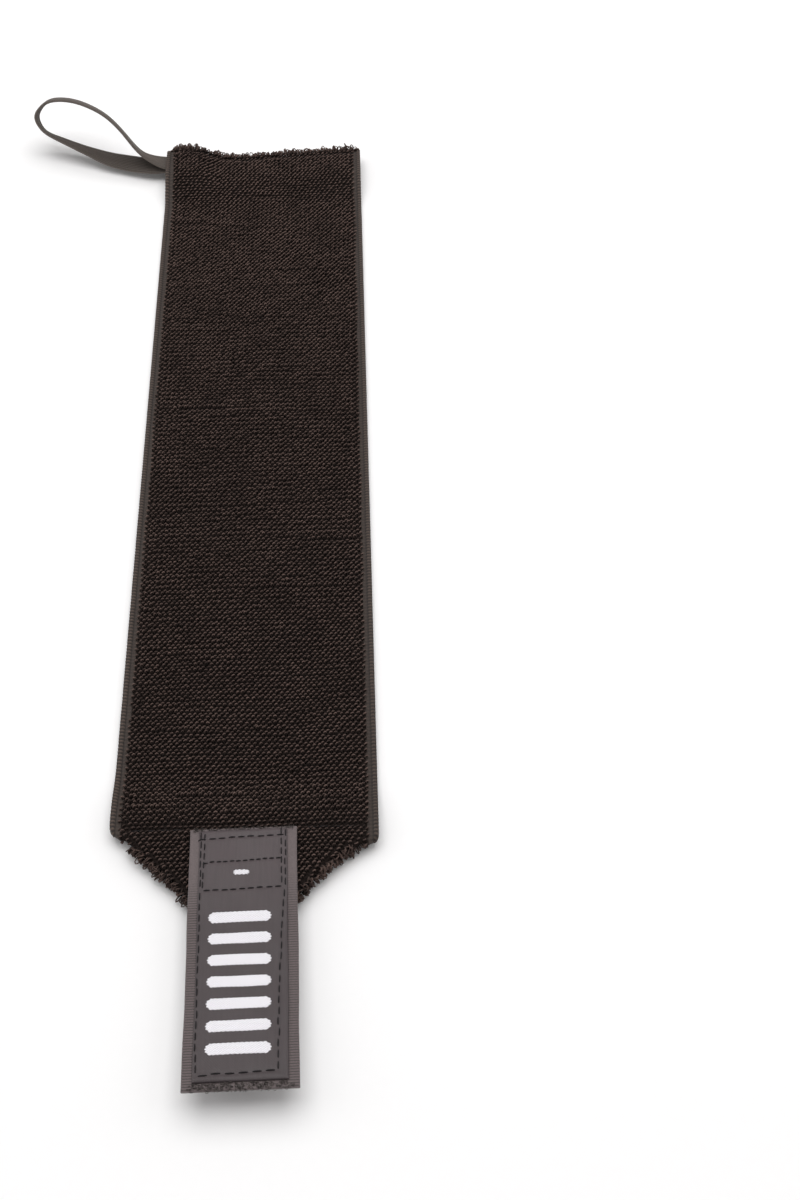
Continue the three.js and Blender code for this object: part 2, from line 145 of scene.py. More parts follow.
# Seams of the band beside the tab, and the tack over the strap's ends: ends and the stitches' pitch
TACK_X = -HALF_WIDTH + 10.7
BAND_SEAMS = (
    ((-HALF_WIDTH + 6, CREASE_Y), (-PRESSED_HALF_WIDTH - 1, CREASE_Y), 3.0),
    ((PRESSED_HALF_WIDTH + 1, CREASE_Y), (HALF_WIDTH - 6, CREASE_Y), 3.0),
    ((-HALF_WIDTH + 2, 0), (HALF_WIDTH - 2, 0), 3.0),
    ((TACK_X, HEM_END_Y + 1), (TACK_X, HEM_CENTRE_Y - 1.5), 1.2),
    ((TACK_X + 0.7, HEM_END_Y + 1), (TACK_X + 0.7, HEM_CENTRE_Y - 1.5), 1.2),
)
HEM_SEAM = 2

# The columns of the band's ground cloth, and those across a selvedge, as distances from its edge
GROUND_COLUMNS = 215
SELVEDGE_INSETS = np.array([0, 0.1, 0.3, 0.6, 1.0, 1.35, 1.5, 1.62, 2.1, 2.7, 3.25])

# Where the points of a terry loop stand on its arch: few on the standing ones, more on the loose ones
ARCH_ANGLES = np.radians([172, 122, 90, 58, 8])
LOOSE_ANGLES = np.radians([172, 145, 118, 90, 62, 35, 8])
LOOP_PIECES = 4
PARTINGS = 16

# Loose loops at the folded corners, -1, and the hem, 1: from x to x, how much longer, and how many
LOOSE_SPANS = (
    (-1, -HALF_WIDTH + 7, -13, 1.0, 150), (-1, 13, HALF_WIDTH - 7, 1.0, 150),
    (1, -HALF_WIDTH + 10, HALF_WIDTH - 3, 1.15, 850),
    (1, -HALF_WIDTH + 2.5, -HALF_WIDTH + 12, 1.65, 380),
    (1, -HALF_WIDTH + 0.8, -HALF_WIDTH + 5, 1.0, 130),
    (1, HALF_WIDTH - 4, HALF_WIDTH - 0.6, 0.75, 60),
)

# Filaments at the tape's cut end and at its sewn end
CUT_END_FRAYS = 330
SEWN_END_FRAYS = 110

# The label's column of bars, and its dash: x, distance, length and height
BARS_X = -0.7
BARS_START = 27.1
BARS_END = 70.0
DASH = (-0.4, 14.8, 4.2, 1.5)
TWILL_PITCH = 0.62
TWILL_SLANT = 0.7

# Seeds of the random draws
PILE_SEED = 45
TAB_SEED = 46
STITCH_SEED = 48

# Camera, as it was fitted to the photograph
CAMERA_PLACE = (34.235, -438.999, 430.354)
CAMERA_YAW = 0.0334655
CAMERA_PITCH = 0.8642076
CAMERA_ROLL = 0.0030803
CAMERA_LENS = 54.0
SENSOR_WIDTH = 36

# Soft lights, as name, place in metres, size and which setting is its power; the floor in metres
LIGHTS = (
    ("Overhead light", (0.0, 0.2, 1.15), 1.4, "key_power"),
    ("Left light", (-1.15, 0.0, 0.7), 0.9, "side_power"),
    ("Right light", (1.15, 0.0, 0.7), 0.9, "side_power"),
)
FLOOR_SPAN = 6.0
FLOOR_LEVEL = -0.0004


def clamp(value, low, high):
    return np.minimum(np.maximum(value, low), high)


def lerp(start, end, share):
    return start + (end - start) * share


def ease(value, low, high):
    """Smooth step from 0 at low to 1 at high."""
    share = clamp((value - low) / (high - low), 0, 1)
    return share * share * (3 - 2 * share)


def bell(value, width):
    return np.exp(-((value / width) ** 2))


def unit(vectors):
    return vectors / np.maximum(np.linalg.norm(vectors, axis=-1, keepdims=True), 1e-9)


def stack(x, y, z):
    return np.stack(np.broadcast_arrays(x, y, z), axis=-1).astype(float)


def turned(first, second, angle):
    """Unit vectors between first and second, one for each angle."""
    return first * np.cos(angle)[:, None] + second * np.sin(angle)[:, None]


def linear(red, green, blue):
    """Linear colour of a screen colour given from 0 to 255."""
    share = np.array([red, green, blue]) / 255
    return tuple(float(value) for value in np.where(
        share <= 0.04045, share / 12.92, ((share + 0.055) / 1.055) ** 2.4
    ))


def waves(x, y, rng, longest, shortest, count=14):
    """A smooth random field: the mean of sines with seeded directions, lengths and phases."""
    angle = rng.uniform(0, 2 * np.pi, count)
    turn = 2 * np.pi / rng.uniform(shortest, longest, count)
    phase = rng.uniform(0, 2 * np.pi, count)
    run = np.multiply.outer(x, turn * np.cos(angle)) + np.multiply.outer(y, turn * np.sin(angle))
    return np.sin(run + phase).sum(axis=-1) / np.sqrt(count)


# Meshes: points in millimetres, arrays of faces, and a weave of three numbers a point

def thick_sheet(top, bottom, across, along, sides=(0, 0)):
    """Closed sheet between two grids of points: the top, the bottom turned over, and a rim that
    joins their borders. The top's first axis crossed with its second points outward. The weave holds
    the places across and along the sheet, and a number for each of the two sides."""
    rows, columns = top.shape[:2]
    index = np.arange(rows * columns).reshape(rows, columns)
    corners = [index[:-1, :-1], index[1:, :-1], index[1:, 1:], index[:-1, 1:]]
    quads = np.stack(corners, -1).reshape(-1, 4)
    below = rows * columns
    border = np.concatenate([index[:-1, 0], index[-1, :-1], index[:0:-1, -1], index[0, :0:-1]])
    after = np.roll(border, -1)
    rim = np.stack([border, border + below, after + below, after], -1)
    points = np.concatenate([top.reshape(-1, 3), bottom.reshape(-1, 3)])
    weave = np.concatenate([stack(across, along, side).reshape(-1, 3) for side in sides])
    return points, [np.concatenate([quads, quads[:, ::-1] + below, rim])], weave


def strands(lines, side, radius, length, tone, sides=4):
    """Closed yarns: at each point of a line stands a ring of points at radius times
    (cos a across + sin a up), where across is the side vector made square to the line. The weave
    holds the place round the yarn, the place along it in mm, and its tone."""
    count, rings = lines.shape[:2]
    along = unit(np.gradient(lines, axis=1))
    side = np.broadcast_to(side, (count, 3))[:, None]
    across = unit(side - (side * along).sum(-1, keepdims=True) * along)
    up = np.cross(along, across)
    angle = 2 * np.pi * (np.arange(sides) + 0.5) / sides
    spread = np.broadcast_to(radius, (count, rings))[:, :, None, None]
    ring = across[:, :, None] * np.cos(angle)[:, None] + up[:, :, None] * np.sin(angle)[:, None]
    points = (lines[:, :, None] + spread * ring).reshape(-1, 3)

    start = np.arange(rings - 1)[:, None] * sides
    here = np.arange(sides)
    after = (here + 1) % sides
    wall = np.stack([start + here, start + after, start + sides + after, start + sides + here], -1)
    ends = np.stack([here[::-1], here + (rings - 1) * sides])
    first = np.arange(count)[:, None, None] * rings * sides
    walls = (wall.reshape(1, -1, 4) + first).reshape(-1, 4)
    caps = (ends[None] + first).reshape(-1, sides)
    run = np.linspace(0, 1, rings)[:, None] * np.reshape(length, (-1, 1, 1))
    weave = stack(here / sides, run, np.reshape(tone, (count, -1, 1)))
    return points, [walls, caps], weave.reshape(-1, 3)


def join(shapes):
    """One shape from several."""
    points, faces, weaves = zip(*shapes)
    starts = np.cumsum([0, *(len(one) for one in points[:-1])])
    moved = [array + start for arrays, start in zip(faces, starts) for array in arrays]
    return np.concatenate(points), moved, np.concatenate(weaves)


def make_piece(name, shape, material):
    """Object of a shape. Its material reads the weave."""
    points, faces, weave = shape
    mesh = bpy.data.meshes.new(name)
    mesh.vertices.add(len(points))
    mesh.vertices.foreach_set("co", (points * MM).astype(np.float32).ravel())
    corners = np.concatenate([array.ravel() for array in faces])
    sizes = np.concatenate([np.full(len(array), array.shape[1]) for array in faces])
    mesh.loops.add(len(corners))
    mesh.loops.foreach_set("vertex_index", corners.astype(np.int32))
    mesh.polygons.add(len(sizes))
    mesh.polygons.foreach_set("loop_start", (np.cumsum(sizes) - sizes).astype(np.int32))
    mesh.polygons.foreach_set("use_smooth", np.ones(len(sizes), bool))
    mesh.update(calc_edges=True)
    if mesh.validate():
        raise RuntimeError(f"{name} has faces that had to be mended")
    attribute = mesh.attributes.new("Weave", "FLOAT_VECTOR", "POINT")
    attribute.data.foreach_set("vector", weave.astype(np.float32).ravel())
    piece = bpy.data.objects.new(name, mesh)
    bpy.context.scene.collection.objects.link(piece)
    mesh.materials.append(material)
    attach(piece, "root")
    return piece


# Finishes

class Finish:
    """A material with a Principled shader, and short calls that add and join its nodes."""

    def __init__(self, name, **shader):
        self.material = bpy.data.materials.new(name)
        self.material.use_nodes = True
        self.tree = self.material.node_tree
        self.shader = self.tree.nodes["Principled BSDF"]
        for socket, value in shader.items():
            self.shader.inputs[socket.replace("_", " ")].default_value = value

    def add(self, kind, inputs=(), **settings):
        node = self.tree.nodes.new(kind)
        for name, value in settings.items():
            setattr(node, name, value)
        for key, value in dict(inputs).items():
            if isinstance(value, bpy.types.NodeSocket):
                self.tree.links.new(value, node.inputs[key])
            else:
                node.inputs[key].default_value = value
        return node

    def math(self, operation, *values):
        return self.add("ShaderNodeMath", enumerate(values), operation=operation).outputs[0]

    def product(self, first, *others):
        for other in others:
            first = self.math("MULTIPLY", first, other)
        return first

    def plus(self, value, share, shift):
        """The value times a share, with a shift added."""
        return self.math("MULTIPLY_ADD", value, share, shift)

    def weave(self):
        """The piece's own coordinates: three separate numbers."""
        source = self.add("ShaderNodeAttribute", attribute_name="Weave")
        parts = self.add("ShaderNodeSeparateXYZ", {"Vector": source.outputs["Vector"]})
        return parts.outputs[0], parts.outputs[1], parts.outputs[2]

    def noise(self, size, detail=2.0, stretch=(1, 1, 1)):
        """Noise from 0 to 1 with features of that size in millimetres, on the object's own axes."""
        place = self.add("ShaderNodeTexCoord").outputs["Object"]
        moved = self.add("ShaderNodeMapping", {"Vector": place, "Scale": stretch}).outputs[0]
        inputs = {"Vector": moved, "Scale": 1 / (size * MM), "Detail": detail}
        return self.add("ShaderNodeTexNoise", inputs).outputs[0]

    def ripple(self, place, pitch, phase=0.0):
        """Sine from 0 to 1 along a coordinate in millimetres."""
        turn = self.plus(place, 2 * np.pi / pitch, phase)
        return self.plus(self.math("SINE", turn), 0.5, 0.5)

    def range(self, value, low, high, start=0.0, end=1.0):
        """Maps low to high onto start to end, and holds it there beyond."""
        keys = {"Value": value, "From Min": start, "From Max": end, "To Min": low, "To Max": high}
        return self.add("ShaderNodeMapRange", keys).outputs[0]

    def mottle(self, noise, low, high):
        """The middle part of a noise, spread from low to high."""
        return self.range(noise, low, high, 0.3, 0.7)

    def colour(self, share, *ends):
        dark, light = (end if isinstance(end, bpy.types.NodeSocket) else (*end, 1) for end in ends)
        return self.add("ShaderNodeMix", {0: share, 6: dark, 7: light}, data_type="RGBA").outputs[2]

    def paint(self, share, dark, light):
        self.tree.links.new(self.colour(share, dark, light), self.shader.inputs["Base Color"])

    def roughen(self, socket):
        self.tree.links.new(socket, self.shader.inputs["Roughness"])

    def emboss(self, height, depth):
        """Bump of a height from 0 to 1 that stands for that many millimetres."""
        bump = self.add("ShaderNodeBump", {"Height": height, "Distance": depth * MM, "Strength": 1.0})
        self.tree.links.new(bump.outputs[0], self.shader.inputs["Normal"])


def scaled(colour, share):
    return tuple(share * value for value in colour)


def terry_finish(settings):
    """Matt two-ply yarn: its tone varies from loop to loop and carries painted shade and light, and its plies
    make a slanted twist with painted highlights along its turns and painted shade between them.
    """
    finish = Finish("Terry yarn", Roughness=0.85, Specular_IOR_Level=0.17, Sheen_Weight=0.02)
    turn, along, tone = finish.weave()
    twist = settings.twist / MM
    plies = finish.ripple(finish.plus(turn, twist, along), twist)
    fuzz = finish.noise(0.25, 3.0)
    patches = finish.range(finish.noise(14.0), 0.85, 1.15, 0.35, 0.65)
    # Painted highlight and shade: the plies lighten along the twist; the darkest end is the painted shade
    # colour
    share = finish.product(tone, patches, finish.mottle(fuzz, 0.7, 1.2), finish.range(plies, 0.75, 1.1))
    finish.paint(share, settings.shade, scaled(settings.yarn, 2.27))
    finish.emboss(finish.plus(fuzz, 0.8, plies), 0.06)
    return finish.material


def elastic_finish(settings):
    """Ground cloth: painted shade, dark between the loops on its pile side, and knitted ribs with short
    stitches on its plain back.
    Weave holds x, the place along the cloth, and 0 on the pile's side or 1 on the back."""
    finish = Finish("Elastic ground", Roughness=0.78, Specular_IOR_Level=0.1)
    across, along, back = finish.weave()
    pitch = settings.rib_pitch / MM
    columns = finish.ripple(across, settings.loop_spacing / MM)
    stitches = finish.ripple(finish.plus(columns, pitch * 0.4, along), pitch)
    fuzz = finish.noise(0.3, 3.0)
    share = finish.product(finish.range(stitches, 0.55, 1.0), finish.mottle(fuzz, 0.75, 1.15))
    # Pile side: painted shade, from the painted shade colour up to a quarter of the yarn's colour
    painted_shade_side = finish.colour(share, settings.shade, scaled(settings.yarn, 0.25))
    finish.paint(back, painted_shade_side, finish.colour(share, scaled(settings.rib, 0.35), settings.rib))
    finish.emboss(finish.plus(fuzz, 0.5, stitches), 0.12)
    return finish.material


def selvedge_finish(settings):
    """Ribbed selvedge: painted shade, dark in the grooves between the cord's cross ribs and between cord
    and lane, with weaker ribs and fine lengthwise threads on the lane."""
    finish = Finish("Ribbed selvedge", Roughness=0.68, Specular_IOR_Level=0.35, Sheen_Weight=0.08)
    across, along, _ = finish.weave()
    ribs = finish.ripple(along, settings.rib_pitch / MM, np.pi / 2)
    threads = finish.ripple(across, 0.42)
    fuzz = finish.noise(0.3, 3.0)
    out = finish.math("ABSOLUTE", across)
    border = HALF_WIDTH - CORD_WIDTH + np.array([-0.3, 0.3])
    # Painted shade: the seam between cord and lane and the grooves between the ribs are painted dark
    seam = finish.math("ABSOLUTE", finish.math("SUBTRACT", out, HALF_WIDTH - CORD_WIDTH - 0.1))
    share = finish.product(
        finish.range(ribs, finish.range(out, 0.6, 0.05, *border), 1.0),
        finish.range(threads, 0.75, 1.0), finish.range(seam, 0.3, 1.0, 0.0, 0.4),
        finish.range(out, 0.5, 1.0, *border), finish.mottle(fuzz, 0.8, 1.15),
    )
    finish.paint(share, scaled(settings.rib, 0.15), scaled(settings.rib, 2.0))
    finish.emboss(finish.plus(fuzz, 0.6, threads), 0.06)
    return finish.material


def strap_finish(settings):
    """Woven elastic: lengthwise ribs with painted shade in the grooves between them, fine cross threads, a
    little polished on the ribs.
    """
    finish = Finish("Strap elastic", Specular_IOR_Level=0.4, Sheen_Weight=0.2)
    across, along, _ = finish.weave()
    ribs = finish.ripple(across, settings.rib_spacing / MM, np.pi / 2)
    threads = finish.ripple(finish.plus(ribs, 0.25, along), 0.5)
    fuzz = finish.noise(0.35, 3.0)
    # Painted shade: the grooves between the ribs are painted darker
    share = finish.product(
        finish.range(ribs, 0.25, 1.0), finish.range(threads, 0.75, 1.0), finish.mottle(fuzz, 0.85, 1.15)
    )
    finish.paint(share, scaled(settings.colour, 0.25), scaled(settings.colour, 1.15))
    finish.roughen(finish.range(share, 0.7, 0.52))
    finish.emboss(finish.plus(fuzz, 0.4, threads), 0.05)
    return finish.material


def tape_finish(settings):
    """Nylon tape: cross ribs on the selvedges, a plain fine weave between them."""
    finish = Finish("Hook tape", Specular_IOR_Level=0.45, Sheen_Weight=0.15)
    across, along, ribbed = finish.weave()
    ribs = finish.ripple(along, settings.rib_pitch / MM)
    threads = finish.ripple(across, 0.36)
    depth = finish.product(finish.math("SUBTRACT", 1.0, ribs), ribbed)
    fuzz = finish.noise(0.4, 3.0)
    # Painted shade: the rib grooves are painted dark; the ribbed selvedges are lighter than the plain weave
    share = finish.product(
        finish.plus(ribbed, 0.3, finish.range(depth, 0.85, -0.4)),
        finish.range(threads, 0.82, 1.0), finish.mottle(fuzz, 0.8, 1.2),
    )
    finish.paint(share, scaled(settings.tape, 0.25), scaled(settings.tape, 1.3))
    finish.roughen(finish.range(fuzz, 0.5, 0.68))
    finish.emboss(finish.plus(threads, 1.0, fuzz), 0.04)
    return finish.material


def label_finish(settings):
    """Satin: long floats along the label in fine rows, with faint streaks and cloudy gloss. Its
    tone is painted lighter by the sewn head and sinks a little past it: a painted satin sheen."""
    finish = Finish("Label satin", Specular_IOR_Level=0.5, Sheen_Weight=0.1, Anisotropic=0.35)
    across, along, _ = finish.weave()
    rows = finish.ripple(across, 0.26)
    floats = finish.ripple(finish.plus(across, 1.9, along), 0.8)
    streaks = finish.noise(0.5, 3.0, (1, 0.05, 1))
    clouds = finish.noise(6.0)
    # The last factor paints the label lighter near its sewn head: a painted sheen
    share = finish.product(
        finish.range(rows, 0.86, 1.0), finish.range(floats, 0.88, 1.0),
        finish.mottle(streaks, 0.82, 1.12), finish.mottle(clouds, 0.9, 1.08),
        finish.range(along, 1.03, 0.66, 8, 32),
    )
    finish.paint(share, scaled(settings.cloth, 0.3), settings.cloth)
    finish.roughen(finish.mottle(clouds, 0.42, 0.55))
    finish.emboss(finish.plus(rows, 1.0, floats), 0.03)
    return finish.material


def mark_finish(settings):
    """White woven bars: slanted twill lines that go a little grey between the threads, painted shade in the
    twill's grooves.
    """
    finish = Finish("White weft", Roughness=0.6, Sheen_Weight=0.2)
    across, along, _ = finish.weave()
    twill = finish.ripple(finish.plus(across, TWILL_SLANT, along), TWILL_PITCH)
    fuzz = finish.noise(0.3, 3.0)
    share = finish.product(finish.range(twill, 0.6, 1.0), finish.mottle(fuzz, 0.85, 1.05))
    finish.paint(share, scaled(settings.mark, 0.45), settings.mark)
    finish.emboss(twill, 0.08)
    return finish.material


def thread_finish(name, colour, twist):
    """Twisted thread or filament: slanted plies, with painted shade darkening the grooves between them."""
    finish = Finish(name, Roughness=0.6, Specular_IOR_Level=0.3)
    turn, along, tone = finish.weave()
    plies = finish.ripple(finish.plus(turn, twist, along), twist)
    finish.paint(finish.product(finish.range(plies, 0.7, 1.0), tone), scaled(colour, 0.3), colour)
    finish.emboss(plies, 0.05)
    return finish.material


# The band's cloth

def cord_round(inset):
    """Half the cord's height at a distance in from the selvedge: a circle, a little blunt."""
    radius = CORD_WIDTH / 2
    off_centre = clamp(radius - inset, -radius, radius)
    return np.maximum(np.sqrt(radius**2 - off_centre**2), radius * 0.35)


def cloth_top(inset, thickness):
    """Height of the cloth's pile side above its plain side: the cord, the lane, then a shoulder that
    rises in a quarter ellipse to the full thickness."""
    share = clamp((inset - SELVEDGE_WIDTH) / PILE_SHOULDER, 0, 1)
    inner = lerp(LANE_THICKNESS, thickness, np.sqrt(1 - (1 - share) ** 2))
    return np.where(inset <= CORD_WIDTH, CORD_WIDTH / 2 + cord_round(inset), inner)


def cloth_under(inset):
    return np.where(inset < CORD_WIDTH / 2, CORD_WIDTH / 2 - cord_round(inset), 0.0)


def fold_edge(x):
    """Y of the folded corners' outer edge: 45 degrees, with a rounded shoulder at each side. The
    right shoulder stands a little lower."""
    inset = HALF_WIDTH - np.abs(x)
    tangent = SHOULDER_RADIUS * np.tan(np.pi / 8)
    reach = clamp(SHOULDER_RADIUS - inset, 0, SHOULDER_RADIUS)
    rounded = CREASE_Y + tangent - np.sqrt(SHOULDER_RADIUS**2 - reach**2)
    edge = np.where(inset > SHOULDER_RADIUS * (1 - np.sqrt(0.5)), CREASE_Y - inset, rounded)
    return edge - RIGHT_SHOULDER_DROP * ease(x, HALF_WIDTH - RIGHT_SHOULDER_WIDTH, HALF_WIDTH)


def tab_shade(x, y):
    """How much a place feels the tab's pressing, from 0 to 1."""
    beside = (np.abs(x) - PRESSED_HALF_WIDTH) / CREASE_REACH
    past = (y - TAB_START_Y - SEAM_GAP) / CREASE_REACH
    return (1 - clamp(beside, 0, 1)) * (1 - clamp(past, 0, 1))


def under_tab(x, y, margin):
    """Whether a place is under the tab, that far inside its outline."""
    beside = x * np.cos(TAB_TURN) + (y - TAB_START_Y) * np.sin(TAB_TURN)
    return (np.abs(beside) < TAB_WIDTH / 2 - margin) & (y < TAB_START_Y - margin)


def hem_gap(x):
    """Space inside the hem, open over the strap's two ends."""
    strap_end = -HALF_WIDTH + WEBBING_TUCK + SEAM_GAP
    closed = ease(x, strap_end, strap_end + BULGE_EASE)
    return SEAM_GAP + 2 * (WEBBING_THICKNESS + SEAM_GAP) * (1 - closed)


def groove(distance):
    """Hollow over a seam, from 1 on it to 0 at its sides: a quarter cosine each way."""
    return np.where(np.abs(distance) < CREASE_REACH, np.cos(distance / CREASE_REACH * np.pi / 2), 0.0)


class Slice:
    """Places along the band at x: the corner's fold, its seam, the ramps, and the hem."""

    def __init__(self, x):
        self.x = x
        self.inset = HALF_WIDTH - np.abs(x)
        edge = fold_edge(x)
        pile = cloth_top(self.inset, PILE_THICKNESS)
        shoulder = clamp(FOLD_REACH - self.inset, 0, FOLD_REACH)
        shoulder_lift = FOLD_REACH - np.sqrt(FOLD_REACH**2 - shoulder**2)
        self.flap_under = np.minimum(shoulder_lift, PILE_THICKNESS - LANE_THICKNESS / 2)
        self.slant = lerp(1, np.sqrt(2), ease(self.inset, 0, SHOULDER_RADIUS))
        fold_top = FLAP_LIFT + lerp(pile, PRESSED_THICKNESS, tab_shade(x, edge))
        self.fold_y = edge + (fold_top - self.flap_under) / 2 * self.slant
        self.crease_y = np.maximum(CREASE_Y, self.fold_y + CREASE_REACH * 1.1)
        self.flap_end_y = np.maximum(CREASE_Y, self.fold_y + CREASE_REACH)
        self.ramp_end_y = self.crease_y + CREASE_REACH + RAMP_LENGTH
        dip_share = clamp((x - HEM_DIP_X) / (HEM_DIP_WIDTH / 2), -1, 1)
        dip = HEM_DIP * np.cos(dip_share * np.pi / 2) ** 2
        self.hem_end_y = HEM_END_Y - dip
        self.hem_centre_y = HEM_CENTRE_Y - dip
        self.hem_seam_y = HEM_Y - HEM_SEAM_INSET - dip
        self.hem_ramp_y = self.hem_end_y - SEAM_GAP
        self.curl = CURL_LIFT * ease(x, HALF_WIDTH - CURL_WIDTH, HALF_WIDTH)
        self.lift = PILE_THICKNESS + hem_gap(x) + self.curl
        self.fold_radius = (SEAM_GAP / 2 + LANE_THICKNESS) * (1 + self.slant) / 2
        self.hem_radius = hem_gap(x) / 2 + LANE_THICKNESS
        self.first = self.fold_y - np.pi * self.fold_radius - (self.flap_end_y - self.fold_y)
        self.last = self.hem_centre_y + np.pi * self.hem_radius + self.hem_centre_y - self.hem_end_y

    def base(self, y):
        """Height of the main layer's plain side."""
        near = FLAP_LIFT * (1 - ease(y, self.crease_y + CREASE_REACH, self.ramp_end_y))
        return near + self.lift * ease(y, self.hem_ramp_y - RAMP_LENGTH, self.hem_ramp_y)

    def seams(self, y):
        """Hollows of the crease's seam and the hem's, from 0 to 1."""
        shade = 1 - tab_shade(self.x, y)
        return groove(y - self.crease_y) * shade + 0.7 * groove(y - self.hem_seam_y)

    def flap_inset(self, run):
        """Distance in from the flap's own selvedge, large where the cloth isn't the flap."""
        return np.where(run < self.fold_y - np.pi * self.fold_radius, run - self.first, 99.0)


def cloth_point(x, run, height):
    """Point of the cloth at x, at a run along it and a height above its plain side. On the top layer
    the run is Y. At each end the cloth turns under in a half circle about the fold's middle, at
    angle (run past the fold) / radius, and then runs back level."""
    place = Slice(x)
    under = np.maximum(PILE_THICKNESS - height, place.flap_under)
    angle = clamp((place.fold_y - run) / place.fold_radius, 0, np.pi)
    back = np.maximum(place.fold_y - np.pi * place.fold_radius - run, 0)
    reach = (SEAM_GAP / 2 + height) * place.slant
    corner_y = place.fold_y - reach * np.sin(angle) + back
    corner_z = (FLAP_LIFT + height + under) / 2 + (FLAP_LIFT + height - under) / 2 * np.cos(angle)

    hem_under = place.curl + PILE_THICKNESS - height
    hem_top = place.lift + height
    turn = clamp((run - place.hem_centre_y) / place.hem_radius, 0, np.pi)
    home = np.maximum(run - place.hem_centre_y - np.pi * place.hem_radius, 0)
    hem_y = place.hem_centre_y + (SEAM_GAP / 2 + height) * np.sin(turn) - home
    hem_z = (hem_top + hem_under) / 2 + (hem_top - hem_under) / 2 * np.cos(turn)

    at_corner = run < place.fold_y
    at_hem = run > place.hem_centre_y
    y = np.where(at_corner, corner_y, np.where(at_hem, hem_y, run))
    z = np.where(at_corner, corner_z, np.where(at_hem, hem_z, place.base(run) + height))
    return stack(x, y, z)


def cloth_frame(x, run, height):
    """Point of the cloth with its unit directions across, along and outward, from small steps."""
    step = 0.05
    point = cloth_point(x, run, height)
    inward = np.where(np.abs(x) + step < HALF_WIDTH, 0, -2 * step * np.sign(x))
    across = cloth_point(x + step + inward, run, height) - cloth_point(x - step + inward, run, height)
    along = cloth_point(x, run + step, height) - cloth_point(x, run - step, height)
    outward = unit(np.cross(across, along))
    return point, unit(across), unit(along), outward


def cloth_thickness(x, run, thickness):
    """Height of the pile side over the plain side at a place, with the flap's own selvedge and the
    hollows of the seams."""
    place = Slice(x)
    own = cloth_top(place.inset, thickness)
    flap = cloth_top(place.flap_inset(run), thickness)
    on_flap = run < place.fold_y - np.pi * place.fold_radius
    return np.where(on_flap, flap, own) - 0.3 * place.seams(run) * (run > place.fold_y)


def middle_slit(x, run):
    """How far the two flaps draw away where they meet edge to edge under the band."""
    place = Slice(x)
    under = ease(place.fold_y - run, 0, np.pi * place.fold_radius)
    return 0.8 * under * bell(x, 0.35)


def ground_cloth():
    """The cloth between the selvedges: columns a third of a millimetre apart, so that its back has
    its lengthwise ribs, and rows that crowd in the folds."""
    x = np.linspace(-1, 1, GROUND_COLUMNS)[:, None] * (HALF_WIDTH - SELVEDGE_WIDTH + 0.2)
    place = Slice(x)
    stops = (
        (place.first, 6), (place.fold_y - np.pi * place.fold_radius, 10), (place.fold_y, 4),
        (place.crease_y - CREASE_REACH, 6), (place.crease_y + CREASE_REACH, 10),
        (place.ramp_end_y, 34), (place.hem_ramp_y - RAMP_LENGTH, 10), (place.hem_ramp_y, 4),
        (place.hem_seam_y - CREASE_REACH, 6), (place.hem_centre_y, 12),
        (place.hem_centre_y + np.pi * place.hem_radius, 8),
    )
    runs = []
    for index, (start, count) in enumerate(stops):
        end = stops[index + 1][0] if index + 1 < len(stops) else place.last
        runs.append(lerp(start, end, np.arange(count)[None] / count))
    run = np.concatenate([*runs, place.last], axis=1)
    x = np.broadcast_to(x, run.shape)
    slit = middle_slit(x, run)
    top = cloth_point(x, run, cloth_thickness(x, run, LANE_THICKNESS) - slit)
    ribs = 0.09 * (1 + np.cos(2 * np.pi * x / 1.64))
    bottom = cloth_point(x, run, ribs + 0.02)
    return thick_sheet(top, bottom, x, run, (0, 1))


def selvedge(side, settings):
    """One edge of the cloth: the cord's circle beside the lane. Cross ribs stand on both as sines
    along the cloth, deeper and beaded on the cord."""
    x = side * (HALF_WIDTH - SELVEDGE_INSETS[:, None])
    x = x if side < 0 else x[::-1]
    place = Slice(x)
    pitch = settings.rib_pitch / MM
    count = int((CLOTH_LENGTH - HALF_WIDTH) / pitch * 4)
    run = lerp(place.first, place.last, np.linspace(0, 1, count)[None])
    x = np.broadcast_to(x, run.shape)
    inset = HALF_WIDTH - np.abs(x)
    beat = 0.5 + 0.5 * np.cos(2 * np.pi * (run + 0.5 * (inset > CORD_WIDTH)) / pitch)
    depth = np.where(inset < CORD_WIDTH, settings.cord_relief, settings.lane_relief) / MM
    relief = depth * (beat - 0.5)
    top = cloth_point(x, run, cloth_top(inset, LANE_THICKNESS) + relief)
    bottom = cloth_point(x, run, cloth_under(inset) - 0.5 * relief + 0.05)
    bulge = side * 0.12 * (beat - 0.5) * bell(inset, 0.4)
    top[..., 0] += bulge
    bottom[..., 0] += bulge
    return thick_sheet(top, bottom, x, run, (0, 1))


# The pile

def terry_arches(angles, sides, roots, side, outward, width, height, lean, radius, tone):
    """Loops of yarn as lines of points: from one foot an arch swells to its width and stands at its
    height over the roots, side * width * cos(angle) + outward * height * sin(angle), and the lean
    moves its crest sideways. The tone is painted darker toward the loop's feet, as painted shade."""
    angle = angles[None, :, None]
    swell = 0.42 + 0.58 * np.sin(angle)
    spread = side[:, None] * (width[:, None, None] / 2) * np.cos(angle) * swell * 1.25
    rise = outward[:, None] * height[:, None, None] * np.sin(angle)
    lines = roots[:, None] + spread + rise + lean[:, None] * np.sin(angle) ** 2
    lines[..., 2] = np.maximum(lines[..., 2], radius[:, None])
    # Painted shade: the tone sinks toward the loop's feet, deep among the loops
    foot_shaded_tone = tone[:, None] * lerp(0.12, 1, np.sin(angles) ** 2)
    return strands(lines, np.cross(side, outward), radius[:, None], height * 2.4, foot_shaded_tone, sides)


